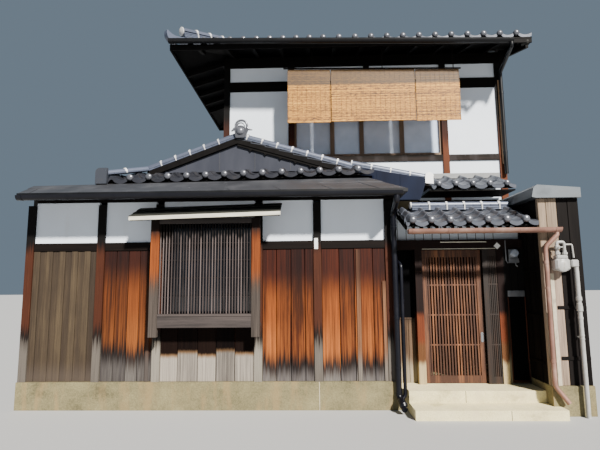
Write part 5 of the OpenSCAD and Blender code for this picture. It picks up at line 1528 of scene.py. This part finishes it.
def make_gas_meter():
    """The gas meter on the annex: round body, unions, valve, bent pipes and the riser to the ground."""
    y = ANNEX_Y - 0.09
    left_x, right_x, riser_x = 3.56, 3.645, 3.765
    shape = Shape()
    shape.box((3.515, y - 0.045, 1.65), (3.685, y + 0.085, 1.79), 0.022, 0.6)
    face = [(0.0, 0.078), (0.022, 0.078), (0.034, 0.07), (0.043, 0.05), (0.047, 0.02), (0.048, 0.002)]
    shape.revolve(face, (3.60, y - 0.004, 1.71), TO_STREET, 32, 0.7)
    shape.box((3.535, y - 0.036, 1.785), (3.665, y + 0.06, 1.83), 0.012)
    union = [(0.0, 0.02), (0.012, 0.02), (0.013, 0.031), (0.038, 0.031), (0.04, 0.022), (0.06, 0.02)]
    for x in (left_x, right_x):
        shape.revolve(union, (x, y, 1.825), UP, 8, 0.4)
    pipe(shape, [(left_x, y, 1.88), (left_x, y, 1.985), (right_x, y, 1.985), (right_x, y, 1.88)], 0.017)
    shape.box((3.535, y - 0.03, 1.90), (3.585, y + 0.02, 1.945), 0.008, 0.3)
    shape.tube([(left_x, y - 0.03, 1.922), (left_x, y - 0.055, 1.922)], 0.008, 10, 0.3)
    shape.box((3.545, y - 0.06, 1.916), (3.600, y - 0.052, 1.928), 0.003, 0.3)
    pipe(shape, [(3.66, y, 1.955), (3.735, y, 1.955), (3.745, y, 1.80)], 0.010)
    shape.box((3.70, y - 0.035, 1.69), (3.785, y + 0.03, 1.775), 0.012, 0.6)
    pipe(shape, [(riser_x, y, 1.70), (riser_x, y, 0.0)], 0.024)
    for z, r, h in ((1.30, 0.032, 0.05), (1.245, 0.030, 0.03), (1.18, 0.033, 0.07), (1.09, 0.028, 0.03),
                    (0.90, 0.027, 0.02), (0.86, 0.027, 0.02)):
        shape.revolve([(0.0, 0.022), (0.004, r), (h - 0.004, r), (h, 0.022)], (riser_x, y, z), UP, 16, 0.6)
    shape.box((3.757, y + 0.02, 0.874), (3.773, ANNEX_Y, 0.890), 0.002, 0.3)
    shape.box((3.59, y + 0.08, 1.69), (3.61, ANNEX_Y, 1.71), 0.002, 0.3)
    shape.piece("gas_meter_detail", "pale", "meter_metal", ["gas_meter"], sharp=30)


def make_electric_meter():
    """The electricity meter beside the door, its glass bowl bare, with a conduit on each side."""
    y, x, z = SCREEN_Y + 0.006, 3.287, 1.89
    back_y = y - 0.0005
    case, bowl = Shape(), Shape()
    case.box((3.23, y - 0.03, 1.815), (3.345, back_y, 1.945), 0.008)
    case.box((3.225, y - 0.045, 1.765), (3.35, back_y, 1.825), 0.006, 0.4)
    case.revolve([(0.0, 0.056), (0.02, 0.056), (0.022, 0.05)], (x, y - 0.026, z), TO_STREET, 28, 0.6)
    case.revolve([(0.0, 0.04), (0.004, 0.038)], (x, y - 0.045, z), TO_STREET, 28, 1.0)
    dome = [(0.0, 0.05), (0.03, 0.048), (0.037, 0.04), (0.04, 0.02), (0.0405, 0.001)]
    bowl.revolve(dome, (x, y - 0.046, z), TO_STREET, 28)
    left = [(3.195, y - 0.016, 2.06), (3.195, y - 0.016, 1.80), (3.215, y - 0.016, 1.765),
            (3.232, y - 0.02, 1.785)]
    right = [(3.31, y - 0.02, 1.77), (3.315, y - 0.02, 1.735), (3.335, y - 0.02, 1.72)]
    for conduit, r in ((left, 0.007), (right, 0.006)):
        case.tube(conduit, r, 10, 0.9)
    case.piece("electric_meter_case", "steel", "meter_case", ["electric_meter"])
    bowl.piece("electric_meter_bowl", "glass", "meter_case")


def make_letter_slot():
    """Flap and hinge over the frame of the letter slot."""
    shape = Shape()
    y = SCREEN_Y - 0.004
    shape.box((3.216, y - 0.001, 1.360), (3.379, y + 0.004, 1.387), 0.001, 0.4)
    shape.tube([(3.21, y - 0.003, 1.39), (3.385, y - 0.003, 1.39)], 0.004, 10, 0.7)
    shape.piece("letter_flap", "steel", "slot_metal")


def make_camera():
    """The photograph's own view."""
    ahead = Vector((math.sin(YAW), math.cos(YAW), 0))
    right = Vector((math.cos(YAW), -math.sin(YAW), 0))
    forward = ahead * math.cos(PITCH) + UP * math.sin(PITCH)
    above = UP * math.cos(PITCH) - ahead * math.sin(PITCH)
    side = right * math.cos(ROLL) + above * math.sin(ROLL)
    top = above * math.cos(ROLL) - right * math.sin(ROLL)
    data = bpy.data.cameras.new("camera")
    data.sensor_fit = "HORIZONTAL"
    data.sensor_width = 36.0
    data.lens = data.sensor_width * FOCAL_PX / PHOTO_W
    data.clip_end = 200
    obj = bpy.data.objects.new("camera", data)
    obj.matrix_world = Matrix.Translation(EYE) @ Matrix((side, top, -forward)).transposed().to_4x4()
    bpy.context.scene.collection.objects.link(obj)
    bpy.context.scene.camera = obj


def make_studio():
    """A plain pale floor, a soft key from the upper right and an even surround."""
    mesh = bpy.data.meshes.new("floor")
    reach = 60
    mesh.from_pydata([(x * reach, y * reach, 0) for x, y in SQUARE], [], [(0, 1, 2, 3)])
    floor = bpy.data.objects.new("floor", mesh)
    bpy.context.scene.collection.objects.link(floor)
    look = Look("floor", 0.9)
    look.shader.inputs["Base Color"].default_value = (0.37, 0.375, 0.38, 1)
    mesh.materials.append(look.material)
    world = bpy.data.worlds.new("studio")
    world.use_nodes = True
    surround = world.node_tree.nodes["Background"].inputs
    surround["Color"].default_value = (0.60, 0.79, 1.0, 1)
    surround["Strength"].default_value = 0.25
    bpy.context.scene.world = world
    sun = bpy.data.lights.new("key", "SUN")
    sun.energy = 12.5
    sun.angle = math.radians(4)
    sun.color = (1.0, 0.95, 0.87)
    key = bpy.data.objects.new("key", sun)
    key.rotation_mode = "QUATERNION"
    key.rotation_quaternion = Vector((-0.54, 1.0, -0.85)).to_track_quat("-Z", "Y")
    bpy.context.scene.collection.objects.link(key)


def save_sizes():
    """Brings the view layer up to date."""
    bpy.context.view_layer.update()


for make in (
    make_camera, make_studio, dress_frame, make_upper_roof, make_front_roof, make_small_roofs, make_ridges,
    make_ornament, make_verge_strips, make_sheet_metal, make_front_wall, make_front_boards, make_bay,
    make_side_eave, make_upper_rafters, make_entrance_rafters, make_hood, make_blinds, make_gutters,
    make_windows, make_wall_fittings, make_entrance, make_annex, make_rear_and_sides, make_corner_boards,
    make_door_pull, make_gas_meter, make_electric_meter, make_letter_slot, save_sizes,
):
    make()
